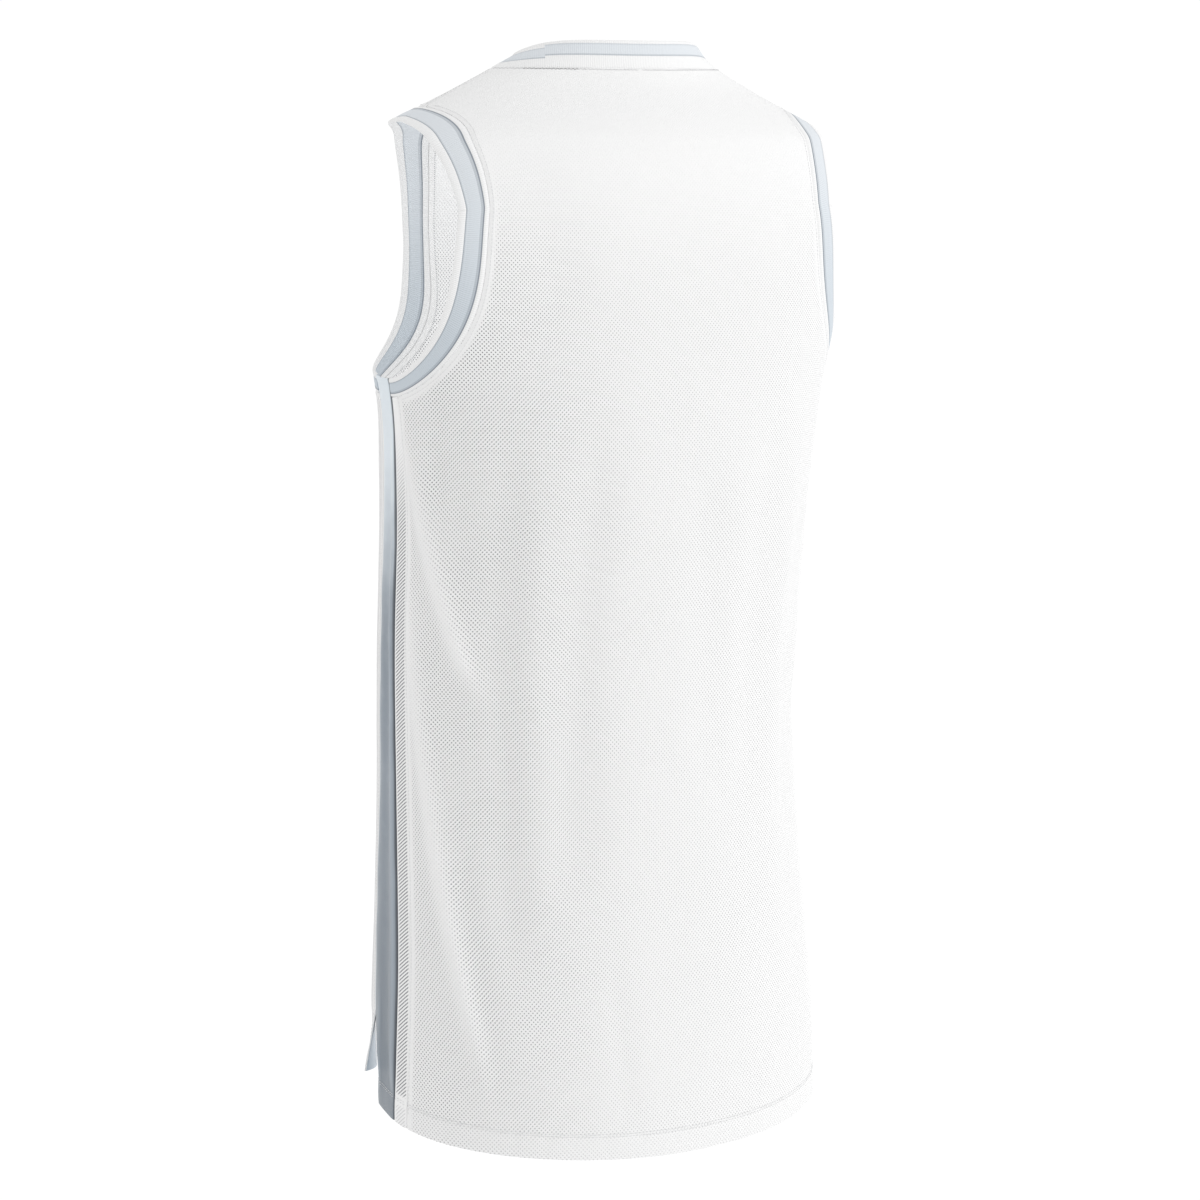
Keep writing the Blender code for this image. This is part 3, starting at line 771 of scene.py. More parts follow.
FRONT_CREASES = tuple(Crease(*sizes) for sizes in (
    (0.152, -0.222, 0.096, -0.632, 0.018, 0.0028),
    (0.112, -0.192, 0.066, -0.552, 0.016, -0.0022),
    (0.018, -0.252, 0.010, -0.692, 0.024, -0.0024),
    (-0.066, -0.212, -0.050, -0.592, 0.018, 0.0020),
    (-0.140, -0.232, -0.104, -0.652, 0.017, -0.0024),
    (-0.190, -0.292, -0.150, -0.732, 0.016, 0.0026),
    (0.188, -0.242, 0.150, -0.462, 0.0060, 0.0013, -0.003),
    (0.176, -0.422, 0.138, -0.722, 0.0060, 0.0011, 0.003),
    (0.104, -0.122, 0.098, -0.292, 0.0100, -0.0012),
    (-0.102, -0.142, -0.106, -0.322, 0.0110, -0.0012),
    (-0.186, -0.254, -0.148, -0.422, 0.0060, 0.0012, 0.004),
    (-0.178, -0.512, -0.140, -0.727, 0.0065, 0.0010, -0.002),
    (0.040, -0.142, 0.034, -0.412, 0.0150, -0.0010),
    (-0.030, -0.472, -0.022, -0.732, 0.0110, 0.0010),
))
CREASES = {Half.BACK: BACK_CREASES, Half.FRONT: FRONT_CREASES}


def crest_share(creases: tuple[Crease, ...], across: Array, z: Array) -> Array:
    """How far a place lies on the crest of a sharp ridge (+) or in a hollow (-), -1 to 1."""
    sharp = [crease for crease in creases if crease.width < SHARP_WIDTH]
    return np.clip(sum(crease.lift(across, z) / abs(crease.height) for crease in sharp), -1.0, 1.0)


def unevenness(across: Array, z: Array) -> Array:
    """The slight wander of a limp knit, a third of a millimetre each way."""
    # radians a metre across and up, start of the wave, millimetres out
    waves = ((37.0, 21.0, 0.4, 0.16), (-61.0, 33.0, 1.9, 0.10), (88.0, 57.0, 4.1, 0.07),
             (23.0, -74.0, 2.7, 0.08))
    return MM * sum(size * np.sin(a * across + b * z + start) for a, b, start, size in waves)


def folds(spots: Spots) -> Array:
    """Works out how far the soft folds move the cloth out, nothing at the side line.

    Args:
        spots: spots on the cloth.
    Returns:
        The move of each spot.
    """
    uneven_drop, side_margin = 0.2, 0.030
    z, across = spots.z, spots.across
    lifts = [sum(crease.lift(across, z) for crease in CREASES[half]) for half in Half]
    lift = np.where(spots.along >= 0, *lifts) + unevenness(across, z) * soft_step(-z / uneven_drop)
    return lift * soft_step(np.abs(spots.along) / side_margin)


@dataclass(frozen=True)
class Relief:
    """How cloth stands beside a seam, on its allowance, and over the turn-up of a hem."""

    allowance_reach: float = 8.0 * MM
    allowance_fade: float = 3.0 * MM
    allowance_rise: float = 0.12 * MM
    turn_up: float = 19.9 * MM
    turn_up_fade: float = 1.2 * MM
    turn_up_rise: float = 0.15 * MM
    belly: float = 0.22 * MM
    row_depth: float = 0.22 * MM
    row_width: float = 0.55 * MM
    pucker: float = 0.22 * MM
    pucker_length: float = 2.9 * MM
    pucker_groups: float = 11.0 * MM
    pucker_middle: float = 18.0 * MM
    pucker_reach: float = 9.0 * MM
    sag: float = 0.42 * MM
    sag_length: float = 23.0 * MM
    sag_drift: float = 61.0 * MM
    sag_end: float = 40.0 * MM
    sag_fade: float = 25.0 * MM

    def seam(self, distance: Array, depth: float, width: float = 1.3 * MM) -> Array:
        """Cloth beside a seam: it turns down into the seam, and stands on its allowance."""
        allowance = soft_step((self.allowance_reach - distance) / self.allowance_fade) * self.allowance_rise
        return allowance - depth * bell(distance, width)

    def hem(self, distance: Array, run: Array) -> Array:
        """Draws the doubled cloth of a hem in under its twin rows, a little puckered.

        Args:
            distance: distance of each spot from the hem.
            run: its distance along the hem.
        Returns:
            Its move out.
        """
        inside = soft_step((self.turn_up - distance) / self.turn_up_fade)
        belly = self.belly * np.sin(np.clip(distance / HEM_ROWS[0], 0.0, 1.0) * math.pi)
        rows = sum(bell(distance - row, self.row_width) for row in HEM_ROWS)
        pucker = self.pucker * np.sin(run / self.pucker_length) * np.sin(run / self.pucker_groups + 1.0)
        near = bell(distance - self.pucker_middle, self.pucker_reach)
        sag = self.sag * np.sin(run / self.sag_length + 0.6 * np.sin(run / self.sag_drift))
        fade = soft_step((self.sag_end - distance) / self.sag_fade)
        return inside * (self.turn_up_rise + belly) - rows * self.row_depth + pucker * near + sag * fade


RELIEF = Relief()


# ---- meshes
def grid_quads(numbers: Array) -> Array:
    """The faces between the points of a grid, given by their numbers."""
    corners = (numbers[:-1, :-1], numbers[:-1, 1:], numbers[1:, 1:], numbers[1:, :-1])
    return np.stack(corners, axis=-1).reshape(-1, 4)


def facing_out(quads: Array, points: Array, normal: Array) -> Array:
    """Turns faces over if they look into the cloth.

    Args:
        quads: the faces.
        points: the points that they join.
        normal: the cloth's normal at each point.
    Returns:
        The faces, looking out.
    """
    start, first, second = (points[quads[:, k]] for k in range(3))
    looks = np.sum(np.cross(first - start, second - start) * normal[quads[:, 0]])
    return quads[:, ::-1] if looks < 0 else quads


@dataclass
class Net(Spots):
    """Spots of a cut piece with the faces between them, before it gets its thickness."""

    quads: Array

    @staticmethod
    def joined(form: BodyForm, blocks: list[tuple[Array, Side]]) -> "Net":
        """Joins grids where their points meet.

        Args:
            form: the body form.
            blocks: grids of places, each with its side.
        Returns:
            The net of all of them.
        """
        quads = []
        start = 0
        for grid, side in blocks:
            numbers = start + np.arange(grid[..., 0].size).reshape(grid.shape[:2])
            start += numbers.size
            quads.append(grid_quads(numbers[:, ::-1] if side is Side.RIGHT else numbers))
        along, height = np.vstack([grid.reshape(-1, 2) for grid, _ in blocks]).T
        sign = np.concatenate([np.full(grid[..., 0].size, float(side.value)) for grid, side in blocks])
        spot = form.points(along, height) * np.column_stack([sign, np.ones((len(sign), 2))])
        spot[np.abs(spot[:, 0]) < CENTRE_SNAP, 0] = 0.0
        _, first, back = np.unique(np.round(spot, 6), axis=0, return_index=True, return_inverse=True)
        return Net(form, along[first], height[first], sign[first], np.ravel(back)[np.vstack(quads)])


def smooth_mesh(name: str, points: Array, faces: list, cloth: Array,
                layers: dict[str, Array] | None = None) -> Piece:
    """Makes an object with the map "cloth" and named point layers.

    Args:
        name: the piece's name.
        points: its points.
        faces: its faces.
        cloth: two lengths on the cloth for each point.
        layers: further values for each point.
    Returns:
        The new object.
    """
    mesh = bpy.data.meshes.new(name)
    mesh.from_pydata(points.tolist(), [], faces)
    corner = np.empty(len(mesh.loops), dtype=np.int32)
    mesh.loops.foreach_get("vertex_index", corner)
    chart = mesh.uv_layers.new(name="cloth")
    chart.data.foreach_set("uv", cloth[corner].astype(np.float32).ravel())
    for key, values in (layers or {}).items():
        layer = mesh.attributes.new(key, "FLOAT", "POINT")
        layer.data.foreach_set("value", values.astype(np.float32))
    mesh.update()
    mesh.shade_smooth()
    mesh.set_sharp_from_angle(angle=SMOOTH_ANGLE)
    piece = bpy.data.objects.new(name, mesh)
    bpy.context.scene.collection.objects.link(piece)
    return piece


def shell(name: str, outer: Array, inner: Array, quads: Array, cloth: Array,
          layers: dict[str, Array] | None = None) -> Piece:
    """Makes a closed thin wall between two skins.

    Args:
        name: the piece's name.
        outer: points of the outer skin.
        inner: the same points of the inner skin.
        quads: faces of one skin.
        cloth: two lengths on the cloth for each point of a skin.
        layers: further values for each point of a skin.
    Returns:
        The new object.
    """
    count = len(outer)
    sides = np.stack([quads, np.roll(quads, -1, axis=1)], axis=-1).reshape(-1, 2)
    forward = sides[:, 0].astype(np.int64) * count + sides[:, 1]
    backward = sides[:, 1].astype(np.int64) * count + sides[:, 0]
    rim = sides[~np.isin(backward, forward)]
    rim = np.column_stack([rim[:, 1], rim[:, 0], rim[:, 0] + count, rim[:, 1] + count])
    faces = quads.tolist() + (quads[:, ::-1] + count).tolist() + rim.tolist()
    doubled = {key: np.tile(values, 2) for key, values in (layers or {}).items()}
    return smooth_mesh(name, np.vstack([outer, inner]), faces, np.tile(cloth, (2, 1)), doubled)


# ---- finishes
class Board:
    """The nodes of a material or a world, with short ways to add and join them."""

    def __init__(self, name: str, world: bool = False) -> None:
        """Starts a material, or a world, with its shader.

        Args:
            name: its name.
            world: whether it is a world.
        """
        self.material = (bpy.data.worlds if world else bpy.data.materials).new(name)
        self.material.use_nodes = True
        self.tree = self.material.node_tree
        self.shader = self.tree.nodes["Background" if world else "Principled BSDF"]

    def feed(self, sockets: bpy.types.NodeInputs, values: dict) -> None:
        """Joins sockets to others, or sets them to plain values.

        Args:
            sockets: the sockets of one node.
            values: what they take, by the socket's name or number.
        """
        for key, value in values.items():
            if isinstance(value, Socket):
                self.tree.links.new(value, sockets[key])
            else:
                sockets[key].default_value = value

    def node(self, kind: str, values: dict | None = None, output: int | str = 0,
             **settings: object) -> Socket:
        """Adds a node.

        Args:
            kind: its type.
            values: what its sockets take, by the socket's name or number.
            output: name or number of the output that is wanted.
            settings: its properties.
        Returns:
            That output.
        """
        made = self.tree.nodes.new(kind)
        for key, value in settings.items():
            setattr(made, key, value)
        self.feed(made.inputs, values or {})
        return made.outputs[output]

    def maths(self, operation: str, a: object, b: object = 0.0, c: object = 0.0) -> Socket:
        """The value of a Math node."""
        return self.node("ShaderNodeMath", {0: a, 1: b, 2: c}, operation=operation)

    def add(self, a: object, b: object) -> Socket:
        """One value and another."""
        return self.maths("ADD", a, b)

    def times(self, a: object, b: object) -> Socket:
        """One value times another."""
        return self.maths("MULTIPLY", a, b)

    def ramp(self, value: object, low: float, high: float, to_low: float = 0.0,
             to_high: float = 1.0) -> Socket:
        """A smooth rise of a value between two limits."""
        values = dict(enumerate((value, low, high, to_low, to_high)))
        return self.node("ShaderNodeMapRange", values, interpolation_type="SMOOTHSTEP")

    def band(self, value: object, low: float, high: float, soft: float) -> Socket:
        """1 between two limits, 0 outside them."""
        rise = self.ramp(value, low - soft, low + soft)
        return self.times(rise, self.ramp(value, high - soft, high + soft, 1.0, 0.0))

    def mix(self, share: object, a: object, b: object) -> Socket:
        """A colour between two others."""
        return self.node("ShaderNodeMix", {0: share, 6: a, 7: b}, 2, data_type="RGBA")

    def part(self, vector: object, number: int) -> Socket:
        """One of a vector's three parts."""
        return self.node("ShaderNodeSeparateXYZ", {0: vector}, number)

    def dot(self, vector: object, way: tuple) -> Socket:
        """How far a vector goes a given way."""
        return self.node("ShaderNodeVectorMath", {0: vector, 1: way}, "Value", operation="DOT_PRODUCT")

    def cloth(self) -> tuple[Socket, Socket]:
        """The two lengths on the cloth, in metres."""
        chart = self.node("ShaderNodeUVMap", uv_map="cloth")
        return self.part(chart, 0), self.part(chart, 1)

    def spot(self) -> Socket:
        """The place on the jersey."""
        return self.node("ShaderNodeTexCoord", output="Object")

    def layer(self, name: str) -> Socket:
        """A named layer of the mesh."""
        return self.node("ShaderNodeAttribute", output="Fac", attribute_name=name)

    def noise(self, scale: float) -> Socket:
        """Cloudy noise round 0.5, fixed to the jersey."""
        return self.node("ShaderNodeTexNoise", {"Vector": self.spot(), "Scale": scale})

    def wave(self, value: object, pitch: float) -> Socket:
        """Cosine of a length, one turn for each pitch."""
        return self.maths("COSINE", self.times(value, 2 * math.pi / pitch))

    def bump(self, height: object, depth: float) -> None:
        """Raises the surface by a height between 0 and 1 times the depth."""
        raised = self.node("ShaderNodeBump", {"Height": height, "Distance": depth})
        self.feed(self.shader.inputs, {"Normal": raised})

    def finish(self, colour: object, roughness: float, sheen: float, specular: float = 0.35) -> Material:
        """Sets the shader's main values and returns the material."""
        self.feed(self.shader.inputs, {"Base Color": colour, "Roughness": roughness, "Sheen Weight": sheen,
                                       "Sheen Roughness": 0.5, "Specular IOR Level": specular})
        return self.material


@dataclass(frozen=True)
class EyeletKnit:
    """White polyester knit with small eyelets in staggered rows, darkened with painted shade of the inside
    seen through them.
    """

    name: str = "white_eyelet_knit"
    colour: tuple = (0.90, 0.90, 0.90, 1.0)
    # painted shade of the inside, seen through the eyelets
    hole_painted_shade: tuple = (0.16, 0.165, 0.175, 1.0)
    pitch: float = 3.2 * MM
    row_pitch: float = 3.3 * MM
    hole_start: float = 0.46
    hole_full: float = 0.86
    patches: float = 26.0
    patch_least: float = 0.72
    wale_pitch: float = 0.8 * MM
    wale_share: float = 0.10
    closed_dip: float = 0.2
    depth: float = 0.70 * MM
    roughness: float = 0.82
    sheen: float = 0.12

    def material(self) -> Material:
        """Builds the finish.

        Returns:
            The material.
        """
        board = Board(self.name)
        u, v = board.cloth()
        lattice = board.times(board.wave(u, self.pitch), board.wave(v, self.row_pitch))
        hole = board.ramp(lattice, self.hole_start, self.hole_full)
        painted_hole_share = board.layer("painted_hole_shade")
        patchy = board.ramp(board.noise(self.patches), 0.25, 0.75, self.patch_least, 1.0)
        # eyelets darkened with painted shade, as far as the layer allows
        shade = board.mix(board.times(board.times(hole, painted_hole_share), patchy), self.colour, self.hole_painted_shade)
        wales = board.times(board.wave(u, self.wale_pitch), self.wale_share)
        dip = board.times(hole, board.add(painted_hole_share, self.closed_dip))
        board.bump(board.maths("SUBTRACT", wales, dip), self.depth)
        return board.finish(shade, self.roughness, self.sheen)


@dataclass(frozen=True)
class HatchMesh:
    """Coarser open mesh whose cells run in diagonal rows, darkened with painted shade of the inside seen
    through them.
    """

    name: str = "coarse_hatch_mesh"
    colour: tuple = (0.87, 0.87, 0.87, 1.0)
    # painted shade of the inside, seen through the cells
    hole_painted_shade: tuple = (0.26, 0.265, 0.28, 1.0)
    pitch: float = 2.8 * MM
    cell_pitch: float = 2.1 * MM
    cell_share: float = 0.25
    row_lean: float = -0.75
    cell_lean: float = 0.2
    hole_start: float = 0.05
    hole_full: float = 0.85
    depth: float = 0.35 * MM
    roughness: float = 0.8
    sheen: float = 0.08

    def material(self) -> Material:
        """Builds the finish.

        Returns:
            The material.
        """
        board = Board(self.name)
        u, v = board.cloth()
        rows = board.wave(board.add(v, board.times(u, self.row_lean)), self.pitch)
        cells = board.wave(board.add(u, board.times(v, self.cell_lean)), self.cell_pitch)
        cells = board.times(cells, self.cell_share)
        hole = board.ramp(board.add(rows, cells), self.hole_start, self.hole_full)
        # painted shade seen through the cells
        seen = board.times(hole, board.layer("painted_hole_shade"))
        board.bump(board.maths("SUBTRACT", 1.0, seen), self.depth)
        return board.finish(board.mix(seen, self.colour, self.hole_painted_shade), self.roughness, self.sheen)


@dataclass(frozen=True)
class SatinTricot:
    """Grey satin tricot of the side bands; its colour carries a painted highlight, pale under the arm,
    deepening to painted shade lower down.
    """

    name: str = "grey_satin_tricot"
    # pale, middle and deep: the satin's grey with a painted highlight high up and painted shade lower down
    pale: tuple = (0.72, 0.785, 0.835, 1.0)
    middle: tuple = (0.240, 0.277, 0.322, 1.0)
    deep_painted_shade: tuple = (0.190, 0.220, 0.255, 1.0)
    # painted shade in the band's rear seam and at the top of the slit
    painted_shade: tuple = (0.075, 0.085, 0.10, 1.0)
    # painted highlight on the satin's rolls, its front edge and its ridge
    painted_highlight: tuple = (0.56, 0.63, 0.70, 1.0)
    pale_z: float = -0.270
    middle_z: float = -0.440
    deep_painted_shade_start_z: float = -0.520
    deep_painted_shade_z: float = -0.740
    clouds: float = 55.0
    cloud_share: float = 0.06
    wale_pitch: float = 0.9 * MM
    course_pitch: float = 0.7 * MM
    depth: float = 0.05 * MM
    roughness: float = 0.36
    sheen: float = 0.2
    specular: float = 0.5

    def material(self) -> Material:
        """Builds the finish.

        Returns:
            The material.
        """
        board = Board(self.name)
        u, v = board.cloth()
        z = board.part(board.spot(), 2)
        cloud = board.ramp(board.noise(self.clouds), 0.3, 0.7, -self.cloud_share, self.cloud_share)
        # painted highlight under the arm, fading to painted shade down the band
        fade = board.add(board.ramp(z, self.pale_z, self.middle_z), cloud)
        painted_shade_below = board.ramp(z, self.deep_painted_shade_start_z, self.deep_painted_shade_z)
        wales = board.times(board.wave(u, self.wale_pitch), 0.6)
        board.bump(board.add(wales, board.times(board.wave(v, self.course_pitch), 0.3)), self.depth)
        shade = board.mix(painted_shade_below, board.mix(fade, self.pale, self.middle), self.deep_painted_shade)
        shade = board.mix(board.layer("painted_highlight"), shade, self.painted_highlight)
        shade = board.mix(board.layer("painted_shade"), shade, self.painted_shade)
        return board.finish(shade, self.roughness, self.sheen, self.specular)


@dataclass(frozen=True)
class StripedRib:
    """Rib knit with one grey stripe; the map's second length runs from sewn to free edge."""

    name: str
    stripe_low: float
    stripe_high: float
    white: tuple = (0.87, 0.87, 0.87, 1.0)
    # pale_grey high up and grey under the arm: the stripe's grey with painted light above and painted shade
    # below
    pale_grey: tuple = (0.71, 0.745, 0.78, 1.0)
    grey: tuple = (0.57, 0.625, 0.675, 1.0)
    # line: painted shade in the grooves along the stripe's edges and in the rib furrows
    line: tuple = (0.22, 0.25, 0.29, 1.0)
    pale_z: float = -0.040
    grey_z: float = -0.220
    # edge_share, side_share and rib_share: strength of that painted shade at the stripe's edges, beside them
    # and in the furrows
    edge_share: float = 0.90
    side_band: float = 2.6 * MM
    side_share: float = 0.34
    rib_pitch: float = 1.5 * MM
    rib_share: float = 0.10
    depth: float = 0.08 * MM
    roughness: float = 0.78
    sheen: float = 0.15

    def material(self) -> Material:
        """Builds the finish.

        Returns:
            The material.
        """
        board = Board(self.name)
        u, v = board.cloth()
        low, high = self.stripe_low, self.stripe_high
        # painted shade along the stripe's edges and beside them
        low_edge = board.band(v, low - 0.2 * MM, low + 0.8 * MM, 0.15 * MM)
        high_edge = board.times(board.band(v, high - 0.5 * MM, high + 0.1 * MM, 0.2 * MM), 0.6)
        low_side = board.band(v, low, low + self.side_band, 0.2 * MM)
        high_side = board.times(board.band(v, high - 1.2 * MM, high, 0.2 * MM), 0.5)
        ribs = board.wave(u, self.rib_pitch)
        z = board.part(board.spot(), 2)
        # painted light and shade: the stripe paler high up and greyer under the arm
        grey_with_painted_light = board.mix(board.ramp(z, self.pale_z, self.grey_z), self.pale_grey, self.grey)
        sides = board.times(board.maths("MAXIMUM", low_side, high_side), self.side_share)
        shade = board.mix(board.band(v, low, high, 0.25 * MM), self.white, board.mix(sides, grey_with_painted_light, self.line))
        painted_edge_shade = board.times(board.maths("MAXIMUM", low_edge, high_edge), self.edge_share)
        shade = board.mix(painted_edge_shade, shade, self.line)
        # painted shade in the rib furrows
        painted_furrow_shade = board.times(board.ramp(ribs, -1.0, -0.2, 1.0, 0.0), self.rib_share)
        shade = board.mix(painted_furrow_shade, shade, self.line)
        board.bump(ribs, self.depth)
        return board.finish(shade, self.roughness, self.sheen)


@dataclass(frozen=True)
class Thread:
    """Spun polyester sewing thread."""

    name: str
    colour: tuple = (0.80, 0.805, 0.81, 1.0)
    shaded: float = 0.86
    twist_pitch: float = 0.35 * MM
    depth: float = 0.04 * MM
    roughness: float = 0.55
    sheen: float = 0.1

    def material(self) -> Material:
        """Builds the finish.

        Returns:
            The material.
        """
        board = Board(self.name)
        twist = board.wave(board.cloth()[0], self.twist_pitch)
        dark = tuple(channel * self.shaded for channel in self.colour[:3]) + (1.0,)
        board.bump(twist, self.depth)
        shade = board.mix(board.ramp(twist, -0.6, 0.6), dark, self.colour)
        return board.finish(shade, self.roughness, self.sheen)


@dataclass(frozen=True)
class OverlockEdge:
    """Raw edge closed by overlock thread, seen inside the seams."""

    name: str = "overlock_edge"
    colour: tuple = (0.84, 0.84, 0.84, 1.0)
    gap_colour: tuple = (0.36, 0.37, 0.38, 1.0)
    thread_from: float = 4.9 * MM
    thread_soft: float = 0.6 * MM
    loop_pitch: float = 1.8 * MM
    loop_lean: float = 0.35
    depth: float = 0.15 * MM
    roughness: float = 0.7
    sheen: float = 0.1

    def material(self) -> Material:
        """Builds the finish.

        Returns:
            The material.
        """
        board = Board(self.name)
        u, v = board.cloth()
        loops = board.wave(board.add(u, board.times(v, self.loop_lean)), self.loop_pitch)
        beside = board.ramp(v, self.thread_from, self.thread_from + self.thread_soft)
        gaps = board.times(board.ramp(loops, -0.9, 0.1, 1.0, 0.0), beside)
        board.bump(loops, self.depth)
        return board.finish(board.mix(gaps, self.colour, self.gap_colour), self.roughness, self.sheen)


# ---- sewing
@dataclass
class StitchRun:
    """Rows of raised thread stitches gathered into one piece."""

    name: str
    radius: float = 0.24 * MM
    rings: int = 5
    sides: int = 6
    arch: float = 1.1
    _points: list = field(default_factory=list)
    _maps: list = field(default_factory=list)

    def add(self, start: Array, end: Array, normal: Array, sink: float = 0.30) -> None:
        """Adds stitches between pairs of points, their ends sunk into the cloth.

        Args:
            start: first point of each stitch.
            end: last point of each stitch.
            normal: the cloth's normal there.
            sink: depth of the ends in thread radii.
        """
        length = np.linalg.norm(end - start, axis=1)
        way = unit(end - start)
        side = unit(np.cross(normal, way))
        up = np.cross(way, side)
        points = []
        maps = []
        for share in np.linspace(0.0, 1.0, self.rings):
            thick = self.radius * math.sin(math.pi * (0.12 + 0.76 * share))**0.5
            rise = (math.sin(math.pi * share) * self.arch - sink) * self.radius
            centre = start + way * (length * share)[:, None] + up * rise
            for turn in np.arange(self.sides) * 2 * math.pi / self.sides:
                points.append(centre + (side * math.cos(turn) + up * math.sin(turn)) * thick)
                maps.append(np.column_stack([length * share, np.full(len(length), turn * self.radius)]))
        self._points.append(np.stack(points, axis=1))
        self._maps.append(np.stack(maps, axis=1))

    def build(self) -> Piece:
        """Makes the object.

        Returns:
            The stitches as one object.
        """
        points, maps = np.vstack(self._points), np.vstack(self._maps)
        ring = np.arange(self.sides)
        starts = self.sides * np.arange(self.rings)
        one = [(low + m, low + (m + 1) % self.sides, high + (m + 1) % self.sides, high + m)
               for low, high in zip(starts[:-1], starts[1:]) for m in ring]
        one += [tuple(ring[::-1]), tuple(ring + starts[-1])]
        bases = range(0, len(points) * self.rings * self.sides, self.rings * self.sides)
        faces = [tuple(int(base + number) for number in face) for base in bases for face in one]
        return smooth_mesh(self.name, points.reshape(-1, 3), faces, maps.reshape(-1, 2))


def dashes(line: Array, pitch: float, length: float) -> tuple[Array, Array]:
    """Spaces stitches along a line on the pattern.

    Args:
        line: places along the line.
        pitch: distance from stitch to stitch.
        length: length of each stitch.
    Returns:
        Start and end places of the stitches.
    """
    whole = run_of(line)[-1]
    count = max(1, int(whole / pitch))
    start = (np.arange(count) + 0.5) * whole / count - length / 2
    return at_shares(line, start / whole), at_shares(line, (start + length) / whole)


def beside(line: Array, distance: float) -> Array:
    """A line moved to its left on the pattern."""
    way = unit(np.gradient(line, axis=0))
    return line + np.column_stack([-way[:, 1], way[:, 0]]) * distance


# ---- cut pieces
def lit_through(material: Material, share: float) -> Material:
    """Makes the same cloth as it is seen from inside, once for each material, with a painted glow of its own
    colour that stands in for the daylight coming through.

    Args:
        material: the cloth's material.
        share: strength of that painted glow, as a share of the cloth's colour.
    Returns:
        The inner skin's material.
    """
    name = f"{material.name}_inside"
    if name in bpy.data.materials:
        return bpy.data.materials[name]
    inside = material.copy()
    inside.name = name
    shader = inside.node_tree.nodes["Principled BSDF"]
    colour = shader.inputs["Base Color"].links[0].from_socket
    inside.node_tree.links.new(colour, shader.inputs["Emission Color"])
    shader.inputs["Emission Strength"].default_value = share
    return inside


def ready(piece: Piece, material: Material, slot: str, inner: int = 0,
          through: float = LIGHT_THROUGH_DOUBLE) -> None:
    """Args:
        piece: the piece.
        material: its cloth.
        slot: not used.
        inner: how many of its faces, after as many outer ones, are the inner skin.
        through: strength of the painted glow on the inner skin, for the daylight that comes through.
    """
    piece.data.materials.append(material)
    if inner:
        piece.data.materials.append(lit_through(material, through))
        index = np.zeros(len(piece.data.polygons), dtype=np.int32)
        index[inner:2 * inner] = 1
        piece.data.polygons.foreach_set("material_index", index)
    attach(piece, "root")
    LOG.info("%s: %d faces", piece.name, len(piece.data.polygons))


